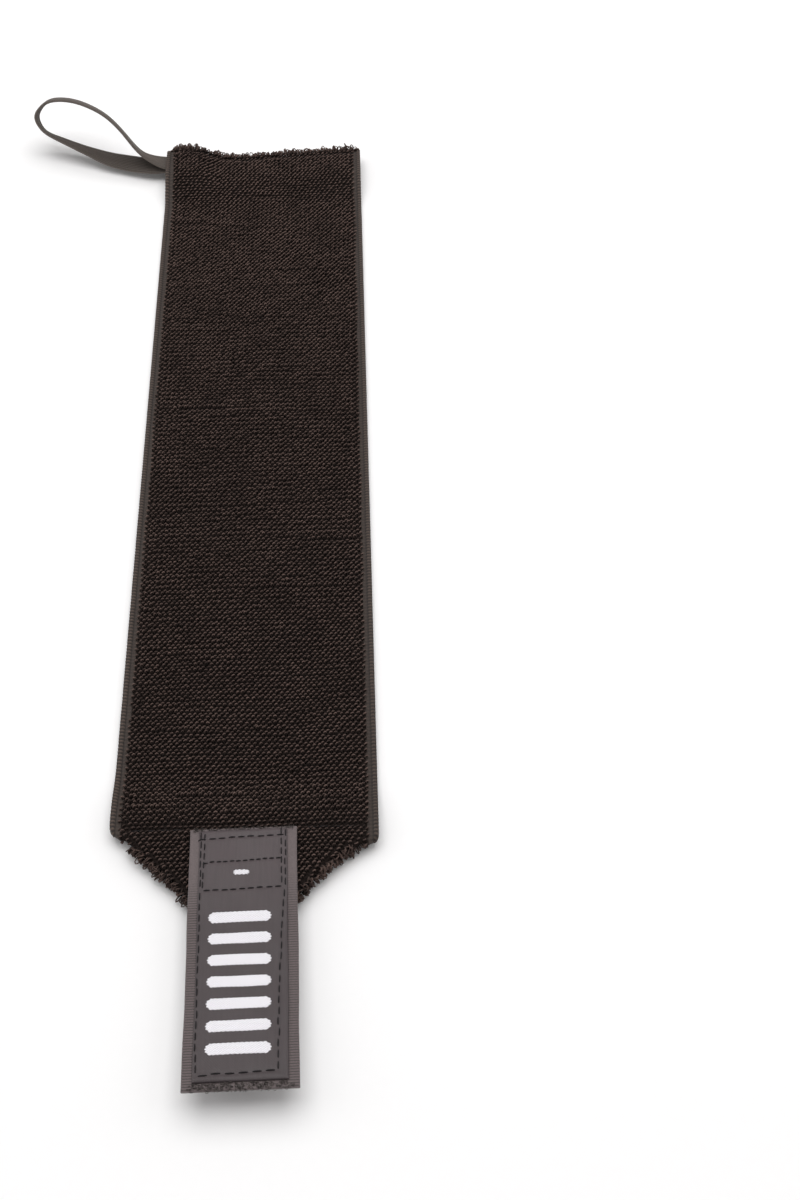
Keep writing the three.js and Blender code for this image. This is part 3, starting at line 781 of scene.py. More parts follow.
def partings(x, run, rng):
    """How far the pile leans along the cloth beside lines where it has parted: away from each line,
    with a strength that fades along and off it."""
    lean = np.zeros_like(x)
    for _ in range(PARTINGS):
        middle_x, middle_run = rng.uniform(-30, 30), rng.uniform(CREASE_Y + 4, HEM_Y - 12)
        length, strength = rng.uniform(8, 26), rng.uniform(0.25, 0.6)
        slope, bow = rng.uniform(-0.12, 0.12), rng.uniform(-0.004, 0.004)
        off_x = x - middle_x
        off_run = run - middle_run - slope * off_x - bow * off_x**2
        lean += strength * np.tanh(off_run / 0.4) * bell(off_x, length) * bell(off_run, 2.0)
    return lean


def row_share(row, run, low):
    """Share from 1 down to low for every second row, in full toward the crease. By the hem the rows
    stand alike."""
    return 1 - (1 - low) * (row % 2) * (1 - ease(run, 20, 110))


def pile_roots(settings, rng):
    """Roots of the loops: rows across the cloth, each moved half a place beside the last, or less by
    the hem, with small seeded shifts, kept where the cloth has pile and the tab doesn't press it."""
    spacing, pitch = settings.loop_spacing / MM, settings.row_pitch / MM
    row = np.arange(int((CREASE_Y - HALF_WIDTH - 10) / pitch), int((HEM_Y + 24) / pitch))[:, None]
    place = np.arange(-int(HALF_WIDTH / spacing) - 1, int(HALF_WIDTH / spacing) + 2)[None]
    shift = 0.5 - 0.12 * ease(row * pitch, 60, 150)
    x = (place + shift * (row % 2)) * spacing
    run = np.broadcast_to(row * pitch, x.shape)
    row = np.broadcast_to(row, x.shape).ravel()
    x = x.ravel() + rng.normal(0, 0.06, x.size)
    run = run.ravel() + rng.normal(0, 0.06, run.size)
    wander = rng.integers(1, 10000, 2)
    x = x + 0.16 * waves(x, run, np.random.default_rng(wander[0]), 60, 9)
    run = run + 0.2 * waves(x, run, np.random.default_rng(wander[1]), 60, 9)
    here = Slice(x)
    keep = here.inset > SELVEDGE_WIDTH - 0.15
    keep &= (run > here.first + SELVEDGE_WIDTH + 0.3) & (run < here.last - 0.3)
    on_top = run > here.fold_y - 0.3 * np.pi * here.fold_radius
    keep &= ~(on_top & under_tab(x, run, 0.1))
    keep &= ~((np.abs(x) < 0.6) & (run < here.fold_y - 0.8 * np.pi * here.fold_radius))
    return x[keep], run[keep], row[keep]


def pile_heights(x, run, row, settings, rng):
    """Height of each loop: lower by the lane, in the seams, in every second row and by the hem, and
    longer where a fold splays them outward and over the strap's ends."""
    place = Slice(x)
    share = clamp((place.inset - SELVEDGE_WIDTH) / PILE_SHOULDER, 0, 1)
    height = settings.loop_height / MM * lerp(0.55, 1, np.sqrt(1 - (1 - share) ** 2))
    height = height * (1 - 0.75 * clamp(place.seams(run), 0, 1)) * row_share(row, run, 0.82)
    height = height * (1 - 0.22 * ease(run, 60, 150))
    corner = (place.fold_y - run) / place.fold_radius
    hem = (run - place.hem_centre_y) / place.hem_radius
    splay = bell(corner - 1.5, 1) * (corner > 0) + bell(hem - 1.5, 1) * (hem > 0)
    calm = ease(place.inset, 4, 11)
    puff = bell(x + HALF_WIDTH - 5, 8) * bell(run - HEM_CENTRE_Y - 1, 6)
    height = height * (1 + settings.edge_splay * splay * calm + puff)
    return height * rng.normal(1, 0.09, x.size)


def pile_loops(settings, rng):
    """All standing loops, with their tones and their runs along the cloth."""
    x, run, row = pile_roots(settings, rng)
    height = pile_heights(x, run, row, settings, rng)
    root, across, along, outward = cloth_frame(x, run, np.full(x.shape, LANE_THICKNESS - 0.12))
    near_hem = ease(run, 20, 110)
    turn = settings.loop_slant * (1 + 0.2 * near_hem) + rng.normal(0, 0.14, x.size)
    side = turned(across, along, turn)
    lean_along = partings(x, run, rng) + rng.normal(-0.05, 0.09, x.size)
    edge = 1 - ease(HALF_WIDTH - np.abs(x), SELVEDGE_WIDTH, SELVEDGE_WIDTH + 1.5)
    lean_across = rng.normal(0, 0.09, x.size) + 0.12 * waves(x, run, rng, 40, 8)
    lean_across += 0.45 * np.sign(x) * edge + 0.4 * near_hem
    lean = along * lean_along[:, None] + across * lean_across[:, None]
    width = settings.loop_width / MM * rng.normal(1, 0.08, x.size)
    radius = settings.yarn_width / MM / 2 * rng.normal(1, 0.08, x.size)
    tone = rng.normal(0.82, 0.15, x.size) * row_share(row, run, 0.78)
    # Painted light: loops grow lighter toward the hem
    tone = clamp(tone * lerp(1.0, 1.12, ease(run, -20, 140)), 0.1, 1.6)
    # Painted shade: loops in the hollows of the crease's and hem's seams are painted darker
    tone = tone * (1 - 0.6 * clamp(Slice(x).seams(run), 0, 1))
    return root, side, outward, width, height, lean, radius, tone, run


def splayed_loops(settings, rng):
    """Longer loose loops that stand out of the folded corners and the hem."""
    parts = []
    for end, low, high, stretch, count in LOOSE_SPANS:
        columns = np.round(rng.uniform(low, high, count) / settings.loop_spacing * MM)
        x = clamp(columns * settings.loop_spacing / MM + rng.normal(0, 0.22, count), low, high)
        place = Slice(x)
        angle = rng.uniform(0.25, 0.75, count) * np.pi
        corner = place.fold_y - angle * place.fold_radius
        hem = place.hem_centre_y + angle * place.hem_radius
        run = corner if end < 0 else hem
        root, across, along, outward = cloth_frame(x, run, np.full(count, LANE_THICKNESS - 0.1))
        side = turned(across, along, rng.uniform(0, np.pi, count))
        height = settings.loop_height / MM * stretch * rng.gamma(14, 1 / 14, count)
        lean = across * rng.normal(0, 0.35, count)[:, None] + along * rng.normal(0, 0.35, count)[:, None]
        width = settings.loop_width / MM * rng.uniform(1.3, 2.3, count)
        radius = settings.yarn_width / MM / 2 * rng.uniform(0.75, 1.05, count)
        # Painted light: the hem's loose loops are painted lighter than those of the folded corners
        tone = rng.uniform(0.4, 1.1, count) * (1.3 if end > 0 else 0.9)
        parts.append((root, side, outward, width, height, lean, radius, tone))
    return [np.concatenate(column) for column in zip(*parts)]


# The thumb strap

def smooth_path(points, count):
    """Centripetal Catmull-Rom line through the points: on each span a cubic whose end slopes come
    from the neighbours, spaced by the square root of their distance."""
    ends = np.concatenate([[2 * points[0] - points[1]], points, [2 * points[-1] - points[-2]]])
    gap = np.sqrt(np.linalg.norm(np.diff(ends, axis=0), axis=1))[:, None]
    place = np.linspace(0, len(points) - 1, count)
    span = np.minimum(place.astype(int), len(points) - 2)
    share = (place - span)[:, None]
    before, start, end, after = (ends[span + offset] for offset in range(4))
    gap_0, gap_1, gap_2 = (gap[span + offset] for offset in range(3))
    rise = (end - start) / gap_1
    leave = gap_1 * ((start - before) / gap_0 - (end - before) / (gap_0 + gap_1) + rise)
    reach = gap_1 * (rise - (after - start) / (gap_1 + gap_2) + (after - end) / gap_2)
    square, cube = share**2, share**3
    return (
        start + leave * share
        + (3 * (end - start) - 2 * leave - reach) * square
        + (2 * (start - end) + leave + reach) * cube
    )


def smoothed(rows):
    """Running mean of the rows under a raised cosine, seventeen rows wide."""
    kernel = np.hanning(2 * SMOOTHING + 1)
    kernel = kernel / kernel.sum()
    padded = np.pad(rows, ((SMOOTHING, SMOOTHING), (0, 0)), "reflect", reflect_type="odd")
    return np.stack([np.convolve(column, kernel, "valid") for column in padded.T], -1)


def strap_line(count):
    """Centre line of the strap and its lean in radians: tucked in the hem, out, round and back."""
    out, drift, rise, lean = STRAP_STATIONS.T
    end = np.where(np.arange(len(out)) <= np.argmax(out), UPPER_WEBBING_Z, LOWER_WEBBING_Z)
    free = stack(-HALF_WIDTH - out * LOOP_REACH, WEBBING_Y + drift * LOOP_DRIFT, lerp(end, LOOP_RISE, rise))
    inside = np.array([WEBBING_TUCK, WEBBING_TUCK / 2, 0])
    upper = stack(-HALF_WIDTH + inside, WEBBING_Y, UPPER_WEBBING_Z)
    lower = stack(-HALF_WIDTH + inside[::-1], WEBBING_Y, LOWER_WEBBING_Z)
    line = smoothed(smooth_path(np.concatenate([upper, free, lower]), count))
    leans = np.concatenate([np.zeros(3), lean, np.zeros(3)])
    place = np.linspace(0, len(leans) - 1, count)
    leans = np.interp(place, np.arange(len(leans)), leans)[:, None]
    return line, np.radians(smoothed(leans)[:, 0])


def thumb_strap(settings):
    """Flat elastic carried along the strap's line: half its thickness is a blunt superellipse of the
    place across, and the ribs are a cosine on it."""
    line, lean = strap_line(STRAP_RINGS)
    along = unit(np.gradient(line, axis=0))
    across = stack(0, np.cos(-lean), np.sin(-lean))
    across = unit(across - (across * along).sum(-1, keepdims=True) * along)
    through = np.cross(along, across)
    share = np.cos(np.linspace(np.pi, 0, 49))
    beat = np.cos(2 * np.pi * share * WEBBING_WIDTH / 2 / (settings.rib_spacing / MM))
    relief = settings.rib_relief / MM * (beat - 1) / 2
    half = WEBBING_THICKNESS / 2 * (1 - share**8) ** 0.5 + 0.06 + relief * (1 - share**8)
    wide = across[:, None] * (share * WEBBING_WIDTH / 2)[:, None]
    thick = through[:, None] * half[:, None]
    length = np.concatenate([[0], np.cumsum(np.linalg.norm(np.diff(line, axis=0), axis=1))])
    middle = line[:, None] + wide
    place = share[None] * WEBBING_WIDTH / 2
    return thick_sheet(middle + thick, middle - thick, place, length[:, None])


# The tab

def tab_point(x, distance, height):
    """Point of the tab at x across it, a distance from its sewn end and a height over the tape's
    underside: level, then bending up on a circle, then straight, all turned a little on the band."""
    bent = clamp(distance - TAB_LEVEL, 0, TAB_BEND)
    straight = np.maximum(distance - TAB_LEVEL - TAB_BEND, 0)
    slope = TAB_ANGLE * bent / TAB_BEND
    radius = TAB_BEND / TAB_ANGLE
    level = np.minimum(distance, TAB_LEVEL)
    y = -(level + radius * np.sin(slope) + straight * np.cos(TAB_ANGLE)) + height * np.sin(slope)
    z = radius * (1 - np.cos(slope)) + straight * np.sin(TAB_ANGLE) + height * np.cos(slope)
    turned_x = x * np.cos(TAB_TURN) - y * np.sin(TAB_TURN)
    turned_y = x * np.sin(TAB_TURN) + y * np.cos(TAB_TURN)
    return stack(turned_x, TAB_START_Y + turned_y, TAPE_Z + z)


def tab_tape(settings):
    """The tape: its selvedges carry cross ribs, sines along the tape that fade in past the label's
    head, and its edges and ends wander a little."""
    half, field = TAB_WIDTH / 2, TAB_WIDTH / 2 - TAPE_SELVEDGE
    columns = np.array([*(half - np.array([0, 0.08, 0.3, 0.9, 1.9, 2.7])), field, field - 0.6])
    columns = np.concatenate([-columns, [-6.0, -2.0, 2.0, 6.0], columns[::-1]])[:, None]
    pitch = settings.rib_pitch / MM
    count = int(TAB_LENGTH / pitch * 4)
    distance = np.linspace(TAB_LENGTH, 0, count)[None]
    x, distance = np.broadcast_arrays(columns, distance)
    edge = half - np.abs(x)
    ribbed = (1 - ease(edge, 2.5, 3.2)) * ease(distance, 12, 30)
    relief = settings.rib_relief / MM * ribbed * (0.5 + 0.5 * np.cos(2 * np.pi * distance / pitch))
    soft = 0.5 * TAPE_THICKNESS * (1 - np.sqrt(1 - (1 - clamp(edge / 0.3, 0, 1)) ** 2))
    wander = np.sign(x) * (0.08 * np.sin(distance / 7.3 + x) + 0.03 * np.sin(distance / 2.9 + x))
    wander = wander * (1 - clamp(edge / 3, 0, 1))
    top = tab_point(x + wander, distance, TAPE_THICKNESS - soft + relief)
    bottom = tab_point(x + wander, distance, soft)
    return thick_sheet(top, bottom, x, distance, (ribbed, ribbed))


def tape_hooks(settings):
    """Hooks under the tape in staggered rows: a stem goes down, turns over and comes back up."""
    spacing = settings.hook_spacing / MM
    field = TAB_WIDTH / 2 - TAPE_SELVEDGE - 0.5
    row = np.arange(1, int((TAB_LENGTH - 1.5) / spacing))[:, None]
    place = np.arange(-int(field / spacing), int(field / spacing) + 1)[None]
    x = (place + 0.25 * np.where(row % 2, 1, -1)) * spacing
    distance = np.broadcast_to(row * spacing, x.shape)
    sense = np.where(row % 2, 1, -1) * np.ones_like(x)
    x, distance, sense = (array.ravel()[:, None] for array in (x, distance, sense))
    along = np.array([0, 0, 0.1, 0.34, 0.5])[None] * sense
    down = HOOK_HEIGHT * np.array([0.05, -0.6, -0.88, -0.92, -0.66])[None]
    lines = tab_point(x, distance + along, down)
    return strands(lines, (1, 0, 0), 0.08, 2.0, np.ones(len(lines)), sides=3)


def curls(x, distance, height, rng, reach, radius, rings=9):
    """Loose filaments: from each root a line goes out past the tape's end and coils round itself."""
    count = len(x)
    share = np.linspace(0, 1, rings)[None]
    coil = rng.uniform(0.3, 0.75, count)[:, None]
    turns = rng.uniform(3, 8, count)[:, None]
    phase = rng.uniform(0, 2 * np.pi, count)[:, None]
    out = reach * rng.uniform(0.3, 1, count)[:, None]
    lines = tab_point(
        x[:, None] + coil * share * np.sin(turns * share + phase),
        distance[:, None] + out * share,
        height[:, None] + coil * share * np.cos(turns * share + phase),
    )
    return strands(lines, (0.1, 0.2, 1), radius, 3.0, rng.uniform(0, 1.1, count) ** 2, sides=3)


def frayed_ends(rng):
    """Curly filaments on the tape's cut end, and short ends of thread on its sewn end."""
    count = CUT_END_FRAYS
    cut = curls(
        rng.uniform(-13.2, 13.4, count), TAB_LENGTH - rng.uniform(0.1, 2.0, count),
        rng.uniform(0.6, 1.25, count), rng, 0.8, 0.075,
    )
    count = SEWN_END_FRAYS
    sewn = curls(
        rng.uniform(-13.8, 14.2, count), rng.uniform(-0.3, 0.5, count),
        rng.uniform(0.9, 1.3, count), rng, 0.5, 0.07,
    )
    return join([cut, sewn])


# The label

def seam_hollow(x, distance):
    """How far the label is drawn down beside the tab's seams, from 0 to 1: the nearest seam's
    distance, in a bell half a millimetre wide."""
    nearest = np.full(np.broadcast(x, distance).shape, 99.0)
    for start, end, _ in TAB_SEAMS:
        start, end = np.array(start), np.array(end)
        line = end - start
        off_x, off_y = x - start[0], distance - start[1]
        share = clamp((off_x * line[0] + off_y * line[1]) / (line @ line), 0, 1)
        nearest = np.minimum(nearest, np.hypot(off_x - share * line[0], off_y - share * line[1]))
    return bell(nearest, 0.55)


def label_top(x, distance):
    """Height of the label's face: its thickness, low waves, hollows along the seams and an edge that
    rolls down onto the tape."""
    end = np.minimum(distance - LABEL_START, LABEL_END_Y - distance)
    edge = np.minimum(LABEL_WIDTH / 2 - np.abs(x), end)
    roll = 0.3 * (1 - ease(edge, 0, 0.7))
    swell = 0.07 * np.sin(distance / 4.7 + 0.2 * x) + 0.05 * np.sin(distance / 2.1 - 0.5 * x)
    return LABEL_TOP + 0.12 + swell - roll - 0.2 * seam_hollow(x, distance)


def label_cloth():
    """The label between its face and the tape, on a grid that is finer across than along."""
    x = np.linspace(-LABEL_WIDTH / 2, LABEL_WIDTH / 2, 82)[:, None]
    distance = np.linspace(LABEL_END_Y, LABEL_START, 240)[None]
    x, distance = np.broadcast_arrays(x, distance)
    wander = 0.1 * np.sin(distance / 6.3) * np.abs(x) / LABEL_WIDTH
    top = tab_point(x + wander, distance, label_top(x, distance))
    bottom = tab_point(x + wander, distance, np.full(x.shape, LABEL_OFFSET - 0.1))
    return thick_sheet(top, bottom, x, distance)


def woven_bar(centre_x, centre_distance, length, height):
    """A bar with round ends, raised over the label. Its edges step a little, as the weave's threads
    do, and its face has slanted twill ridges."""
    up = np.linspace(-1, 1, 17)[None]
    share = np.linspace(-1, 1, 61)[:, None]
    step = 0.16 * np.where(np.arange(17) % 4 < 2, 1, -1)[None]
    half = length / 2 - height / 2 * (1 - np.sqrt(1 - np.minimum(np.abs(up), 0.97) ** 2)) + step
    x = centre_x + share * half
    teeth = 0.07 * np.sign(np.sin(x * 5.3)) * np.abs(up) ** 4
    distance = centre_distance - up * (height / 2 + teeth)
    twill = 0.03 * np.sin(2 * np.pi * (distance + TWILL_SLANT * x) / TWILL_PITCH)
    rim = ease(1 - np.maximum(np.abs(up), np.abs(share)), 0, 0.06)
    face = label_top(x, distance)
    top = tab_point(x, distance, face + 0.02 + (0.06 + twill) * rim)
    bottom = tab_point(x, distance, face - 0.1)
    return thick_sheet(top, bottom, x, distance)


def label_marks(settings):
    """A plain column of equal bars, and a short dash near the label's head."""
    length, height = settings.bar_length / MM, settings.bar_height / MM
    places = np.linspace(BARS_START + height / 2, BARS_END - height / 2, settings.bar_count)
    return join([*(woven_bar(BARS_X, place, length, height) for place in places), woven_bar(*DASH)])


# Stitches

def stitch_run(start, end, pitch, surface, rng, thread, share=0.8):
    """Stitches in a row from start to end: each a short arch whose ends go down into the cloth.
    Surface turns the row's two coordinates and a height into points."""
    start, end = np.array(start, float), np.array(end, float)
    count = max(int(np.linalg.norm(end - start) / pitch), 1)
    first = (np.arange(count)[:, None] + (1 - share) / 2 + rng.normal(0, 0.03, (count, 1))) / count
    place = first + np.linspace(0, share / count, 5)[None]
    wobble = rng.normal(0, 0.09, (count, 1))
    line = end - start
    square = np.array([-line[1], line[0]]) / np.linalg.norm(line)
    one = start[0] + line[0] * place + square[0] * wobble
    other = start[1] + line[1] * place + square[1] * wobble
    rise = np.array([-0.22, 0.06, 0.13, 0.06, -0.22])[None]
    lines = surface(one, other, rise * np.ones((count, 1)))
    return strands(lines, (0, 0, 1), thread, pitch, rng.uniform(0.7, 1, count))


def tab_stitches(settings, rng):
    """The tab's seams on the label's face."""
    def surface(x, distance, rise):
        return tab_point(x, distance, label_top(x, distance) + rise)

    thread = settings.thread_width / MM / 2
    return join([stitch_run(*seam, surface, rng, thread) for seam in TAB_SEAMS])


def band_stitches(settings, rng):
    """The crease's seam on both sides of the tab, the hem's seam and the tack over the strap's ends,
    sunk among the loops."""
    def surface(x, run, rise):
        return cloth_point(x, run, LANE_THICKNESS + rise)

    def along_hem(x, offset, rise):
        return surface(x, Slice(x).hem_seam_y + offset, rise)

    thread = settings.thread_width / MM / 2
    return join([
        stitch_run(*seam, along_hem if index == HEM_SEAM else surface, rng, thread)
        for index, seam in enumerate(BAND_SEAMS)
    ])


# Settings

def number(name, description, default, **more):
    return bpy.props.FloatProperty(name=name, description=description, default=default, **more)


def size(name, description, millimetres):
    return number(
        name, description, millimetres * MM, min=0, subtype="DISTANCE", unit="LENGTH", precision=5
    )


def tint(name, description, *screen):
    return bpy.props.FloatVectorProperty(
        name=name, description=description, default=linear(*screen), min=0, max=1, subtype="COLOR",
    )


class BandSettings(bpy.types.PropertyGroup):
    loop_height: size("Loop height", "How far the terry loops stand over the ground cloth", 1.75)
    loop_width: size("Loop width", "Width of a loop at its widest", 1.15)
    loop_spacing: size("Loop spacing", "Distance between loops in a row", 1.64)
    row_pitch: size("Row pitch", "Distance between rows of loops along the band", 1.11)
    yarn_width: size("Yarn width", "Thickness of the terry yarn", 0.46)
    twist: size("Yarn twist", "Length of one turn of the yarn's plies", 0.5)
    rib_pitch: size("Rib pitch", "Distance between the selvedges' cross ribs", 1.25)
    cord_relief: size("Cord relief", "Depth of the ribs on the selvedge cord", 0.42)
    lane_relief: size("Lane relief", "Depth of the ribs on the lane beside the cord", 0.16)
    loop_slant: number(
        "Loop slant", "Turn of the loops from the band's crosswise direction", 0.42,
        subtype="ANGLE", unit="ROTATION",
    )
    edge_splay: number(
        "Edge splay", "Share by which loops grow longer round the folds", 0.3, min=0, subtype="FACTOR"
    )
    yarn: tint("Yarn colour", "Colour of the terry loops", 76, 62, 57)
    # Painted shade: the dark painted deep between the loops, on the ground's pile side and at the loops' feet
    shade: tint("Painted shade colour", "Colour painted deep between the loops as their shade", 14, 8, 6)
    rib: tint("Selvedge colour", "Colour of the ribbed selvedges and the plain back", 65, 54, 48)


class StrapSettings(bpy.types.PropertyGroup):
    rib_spacing: size("Rib spacing", "Distance between the strap's lengthwise ribs", 0.8)
    rib_relief: size("Rib relief", "Depth of the ribs", 0.3)
    colour: tint("Strap colour", "Colour of the thumb strap's elastic", 84, 74, 67)


class TabSettings(bpy.types.PropertyGroup):
    rib_pitch: size("Rib pitch", "Distance between the tape's cross ribs", 0.77)
    rib_relief: size("Rib relief", "Height of the tape's cross ribs", 0.3)
    hook_spacing: size("Hook spacing", "Distance between hooks under the tape", 1.35)
    thread_width: size("Thread width", "Thickness of the sewing thread", 0.42)
    tape: tint("Tape colour", "Colour of the hook tape", 94, 83, 83)
    thread: tint("Thread colour", "Colour of the sewing thread", 20, 16, 18)
    filament: tint("Filament colour", "Colour of the loose filaments on the tape's ends", 112, 104, 100)


class LabelSettings(bpy.types.PropertyGroup):
    bar_length: size("Bar length", "Length of the white woven bars", 16.8)
    bar_height: size("Bar height", "Height of one white bar", 3.3)
    bar_count: bpy.props.IntProperty(
        name="Bar count", description="Number of white bars in the column", default=7, min=1, max=12,
    )
    cloth: tint("Label colour", "Colour of the label's satin", 74, 63, 65)
    mark: tint("Mark colour", "Colour of the white woven bars", 248, 245, 250)


class StageSettings(bpy.types.PropertyGroup):
    floor: tint("Floor colour", "Colour of the floor", 247, 246, 246)
    key_power: number(
        "Overhead light", "Power of the soft light over the table", 13.0, min=0, subtype="POWER", unit="POWER"
    )
    side_power: number(
        "Side lights", "Power of each of the two side lights", 2.5, min=0, subtype="POWER", unit="POWER"
    )
    world_level: number("Room light", "Strength of the even light all round", 0.4, min=0)


class WrapSettings(bpy.types.PropertyGroup):
    band: bpy.props.PointerProperty(type=BandSettings, name="Band", description="The terry band")
    strap: bpy.props.PointerProperty(type=StrapSettings, name="Strap", description="The thumb strap")
    tab: bpy.props.PointerProperty(type=TabSettings, name="Tab", description="The hook tape tab")
    label: bpy.props.PointerProperty(type=LabelSettings, name="Label", description="The woven label")
    stage: bpy.props.PointerProperty(type=StageSettings, name="Stage", description="Floor and lights")


# Operators

class WRAP_OT_ground(bpy.types.Operator):
    """Make the band's ground cloth and its ribbed selvedges"""

    bl_idname = "wrist_wrap.ground"
    bl_label = "Ground Cloth"

    def execute(self, context):
        settings = context.scene.wrist_wrap.band
        ground = make_piece("terry_ground", ground_cloth(), elastic_finish(settings))
        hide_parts("terry_band")
        sides = join([selvedge(side, settings) for side in (-1, 1)])
        make_piece("terry_selvedges", sides, selvedge_finish(settings))
        return {"FINISHED"}


class WRAP_OT_pile(bpy.types.Operator):
    bl_idname = "wrist_wrap.pile"
    bl_label = "Terry Loops"

    def execute(self, context):
        settings = context.scene.wrist_wrap.band
        rng = np.random.default_rng(PILE_SEED)
        yarn = terry_finish(settings)
        *parts, run = pile_loops(settings, rng)
        bounds = np.quantile(run, np.linspace(0, 1, LOOP_PIECES + 1))
        bounds[-1] += 1
        for index in range(LOOP_PIECES):
            here = (run >= bounds[index]) & (run < bounds[index + 1])
            arches = terry_arches(ARCH_ANGLES, 4, *(part[here] for part in parts))
            make_piece(f"terry_loops_{index + 1}", arches, yarn)
        arches = terry_arches(LOOSE_ANGLES, 3, *splayed_loops(settings, rng))
        make_piece("edge_loops", arches, yarn)
        return {"FINISHED"}


class WRAP_OT_strap(bpy.types.Operator):
    """Make the thumb strap"""

    bl_idname = "wrist_wrap.strap"
    bl_label = "Thumb Strap"

    def execute(self, context):
        settings = context.scene.wrist_wrap.strap
        strap = make_piece("thumb_strap", thumb_strap(settings), strap_finish(settings))
        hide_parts("thumb_loop")
        return {"FINISHED"}


class WRAP_OT_tab(bpy.types.Operator):
    """Make the hook tape with its hooks and frayed ends"""

    bl_idname = "wrist_wrap.tab"
    bl_label = "Hook Tape Tab"

    def execute(self, context):
        settings = context.scene.wrist_wrap.tab
        rng = np.random.default_rng(TAB_SEED)
        tape = make_piece("tab_tape", tab_tape(settings), tape_finish(settings))
        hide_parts("hook_tab")
        look = thread_finish("Hook monofilament", settings.tape, 1.0)
        hooks = make_piece("tab_hooks", tape_hooks(settings), look)
        look = thread_finish("Loose filament", settings.filament, 0.4)
        fray = make_piece("tab_fray", frayed_ends(rng), look)
        return {"FINISHED"}


class WRAP_OT_label(bpy.types.Operator):
    """Make the woven label and its white bars"""

    bl_idname = "wrist_wrap.label"
    bl_label = "Woven Label"

    def execute(self, context):
        settings = context.scene.wrist_wrap.label
        label = make_piece("label_cloth", label_cloth(), label_finish(settings))
        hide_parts("woven_label")
        marks = make_piece("label_marks", label_marks(settings), mark_finish(settings))
        return {"FINISHED"}


class WRAP_OT_stitches(bpy.types.Operator):
    """Make the stitches of the tab and of the band"""

    bl_idname = "wrist_wrap.stitches"
    bl_label = "Stitches"

    def execute(self, context):
        settings = context.scene.wrist_wrap.tab
        rng = np.random.default_rng(STITCH_SEED)
        thread = thread_finish("Sewing thread", settings.thread, 0.35)
        make_piece("tab_stitches", tab_stitches(settings, rng), thread)
        make_piece("band_stitches", band_stitches(settings, rng), thread)
        return {"FINISHED"}


def area_light(name, place, size, power):
    """Square soft light at a place in metres, turned toward the table's middle."""
    light = bpy.data.lights.new(name, "AREA")
    light.shape = "SQUARE"
    light.size = size
    light.energy = power
    lamp = bpy.data.objects.new(name, light)
    bpy.context.scene.collection.objects.link(lamp)
    back = unit(np.array(place, float))
    right = unit(np.cross((0, 1, 0), back))
    axes = np.stack([right, np.cross(back, right), back], -1)
    lamp.matrix_world = Matrix.LocRotScale(place, Matrix(axes.tolist()), None)


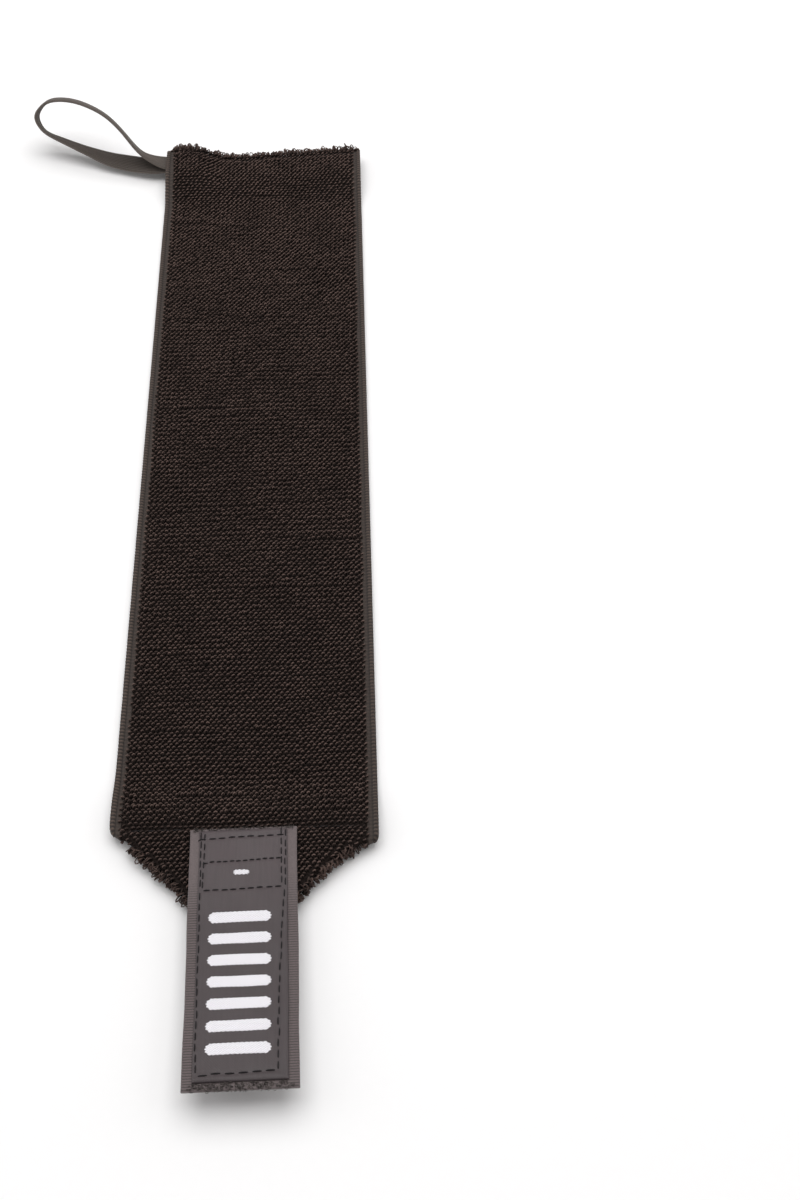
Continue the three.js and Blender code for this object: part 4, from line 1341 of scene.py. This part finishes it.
class WRAP_OT_stage(bpy.types.Operator):
    """Make the floor, the lights and the camera"""

    bl_idname = "wrist_wrap.stage"
    bl_label = "Stage"

    def execute(self, context):
        settings = context.scene.wrist_wrap.stage
        self.make_floor(settings)
        self.make_light(context, settings)
        self.make_camera(context)
        context.scene.view_settings.view_transform = "Standard"
        return {"FINISHED"}

    def make_floor(self, settings):
        finish = Finish("Matt floor", Roughness=0.9, Specular_IOR_Level=0.1)
        grain = finish.noise(3.0, 4.0)
        finish.paint(grain, scaled(settings.floor, 0.985), settings.floor)
        mesh = bpy.data.meshes.new("floor")
        around = ((-1, -1), (1, -1), (1, 1), (-1, 1))
        corners = [(x * FLOOR_SPAN, y * FLOOR_SPAN, FLOOR_LEVEL) for x, y in around]
        mesh.from_pydata(corners, [], [(0, 1, 2, 3)])
        mesh.materials.append(finish.material)
        floor = bpy.data.objects.new("floor", mesh)
        bpy.context.scene.collection.objects.link(floor)

    def make_light(self, context, settings):
        world = bpy.data.worlds.new("Studio")
        context.scene.world = world
        world.use_nodes = True
        inputs = world.node_tree.nodes["Background"].inputs
        inputs["Strength"].default_value = settings.world_level
        inputs["Color"].default_value = (1, 1, 1, 1)
        for name, place, span, power in LIGHTS:
            area_light(name, place, span, getattr(settings, power))

    def make_camera(self, context):
        yaw, pitch, roll = CAMERA_YAW, CAMERA_PITCH, CAMERA_ROLL
        forward = np.array([np.sin(yaw) * np.cos(pitch), np.cos(yaw) * np.cos(pitch), -np.sin(pitch)])
        level = np.array([np.cos(yaw), -np.sin(yaw), 0.0])
        upright = np.cross(level, forward)
        right = level * np.cos(roll) + upright * np.sin(roll)
        up = upright * np.cos(roll) - level * np.sin(roll)
        lens = bpy.data.cameras.new("Camera")
        lens.lens = CAMERA_LENS
        lens.sensor_width = SENSOR_WIDTH
        lens.clip_start = 0.01
        camera = bpy.data.objects.new("Camera", lens)
        context.scene.collection.objects.link(camera)
        place = np.array(CAMERA_PLACE) * MM
        camera.matrix_world = Matrix.LocRotScale(
            place.tolist(), Matrix(np.stack([right, up, -forward], -1).tolist()), None
        )
        context.scene.camera = camera


class WRAP_PT_panel(bpy.types.Panel):
    """Lists the wrap's pieces and their settings"""

    bl_idname = "WRAP_PT_panel"
    bl_label = "Wrist Wrap"
    bl_space_type = "VIEW_3D"
    bl_region_type = "UI"
    bl_category = "Wrist Wrap"

    def draw(self, context):
        settings = context.scene.wrist_wrap
        for operator, group in STEPS:
            box = self.layout.box()
            box.operator(operator.bl_idname)
            if group:
                part = getattr(settings, group)
                for name in part.bl_rna.properties.keys():
                    if name not in ("rna_type", "name"):
                        box.prop(part, name)


STEPS = (
    (WRAP_OT_ground, ""),
    (WRAP_OT_pile, "band"),
    (WRAP_OT_strap, "strap"),
    (WRAP_OT_tab, "tab"),
    (WRAP_OT_label, "label"),
    (WRAP_OT_stitches, ""),
    (WRAP_OT_stage, "stage"),
)
GROUPS = (BandSettings, StrapSettings, TabSettings, LabelSettings, StageSettings, WrapSettings)
CLASSES = (*GROUPS, *(operator for operator, _ in STEPS), WRAP_PT_panel)


def register():
    for one in CLASSES:
        bpy.utils.register_class(one)
    bpy.types.Scene.wrist_wrap = bpy.props.PointerProperty(
        type=WrapSettings, name="Wrist wrap", description="Sizes and colours of the wrist wrap"
    )


def unregister():
    del bpy.types.Scene.wrist_wrap
    for one in reversed(CLASSES):
        bpy.utils.unregister_class(one)


def main():
    register()
    bpy.ops.wrist_wrap.ground()
    bpy.ops.wrist_wrap.pile()
    bpy.ops.wrist_wrap.strap()
    bpy.ops.wrist_wrap.tab()
    bpy.ops.wrist_wrap.label()
    bpy.ops.wrist_wrap.stitches()
    bpy.ops.wrist_wrap.stage()
    bpy.context.view_layer.update()


if __name__ == "__main__":
    main()
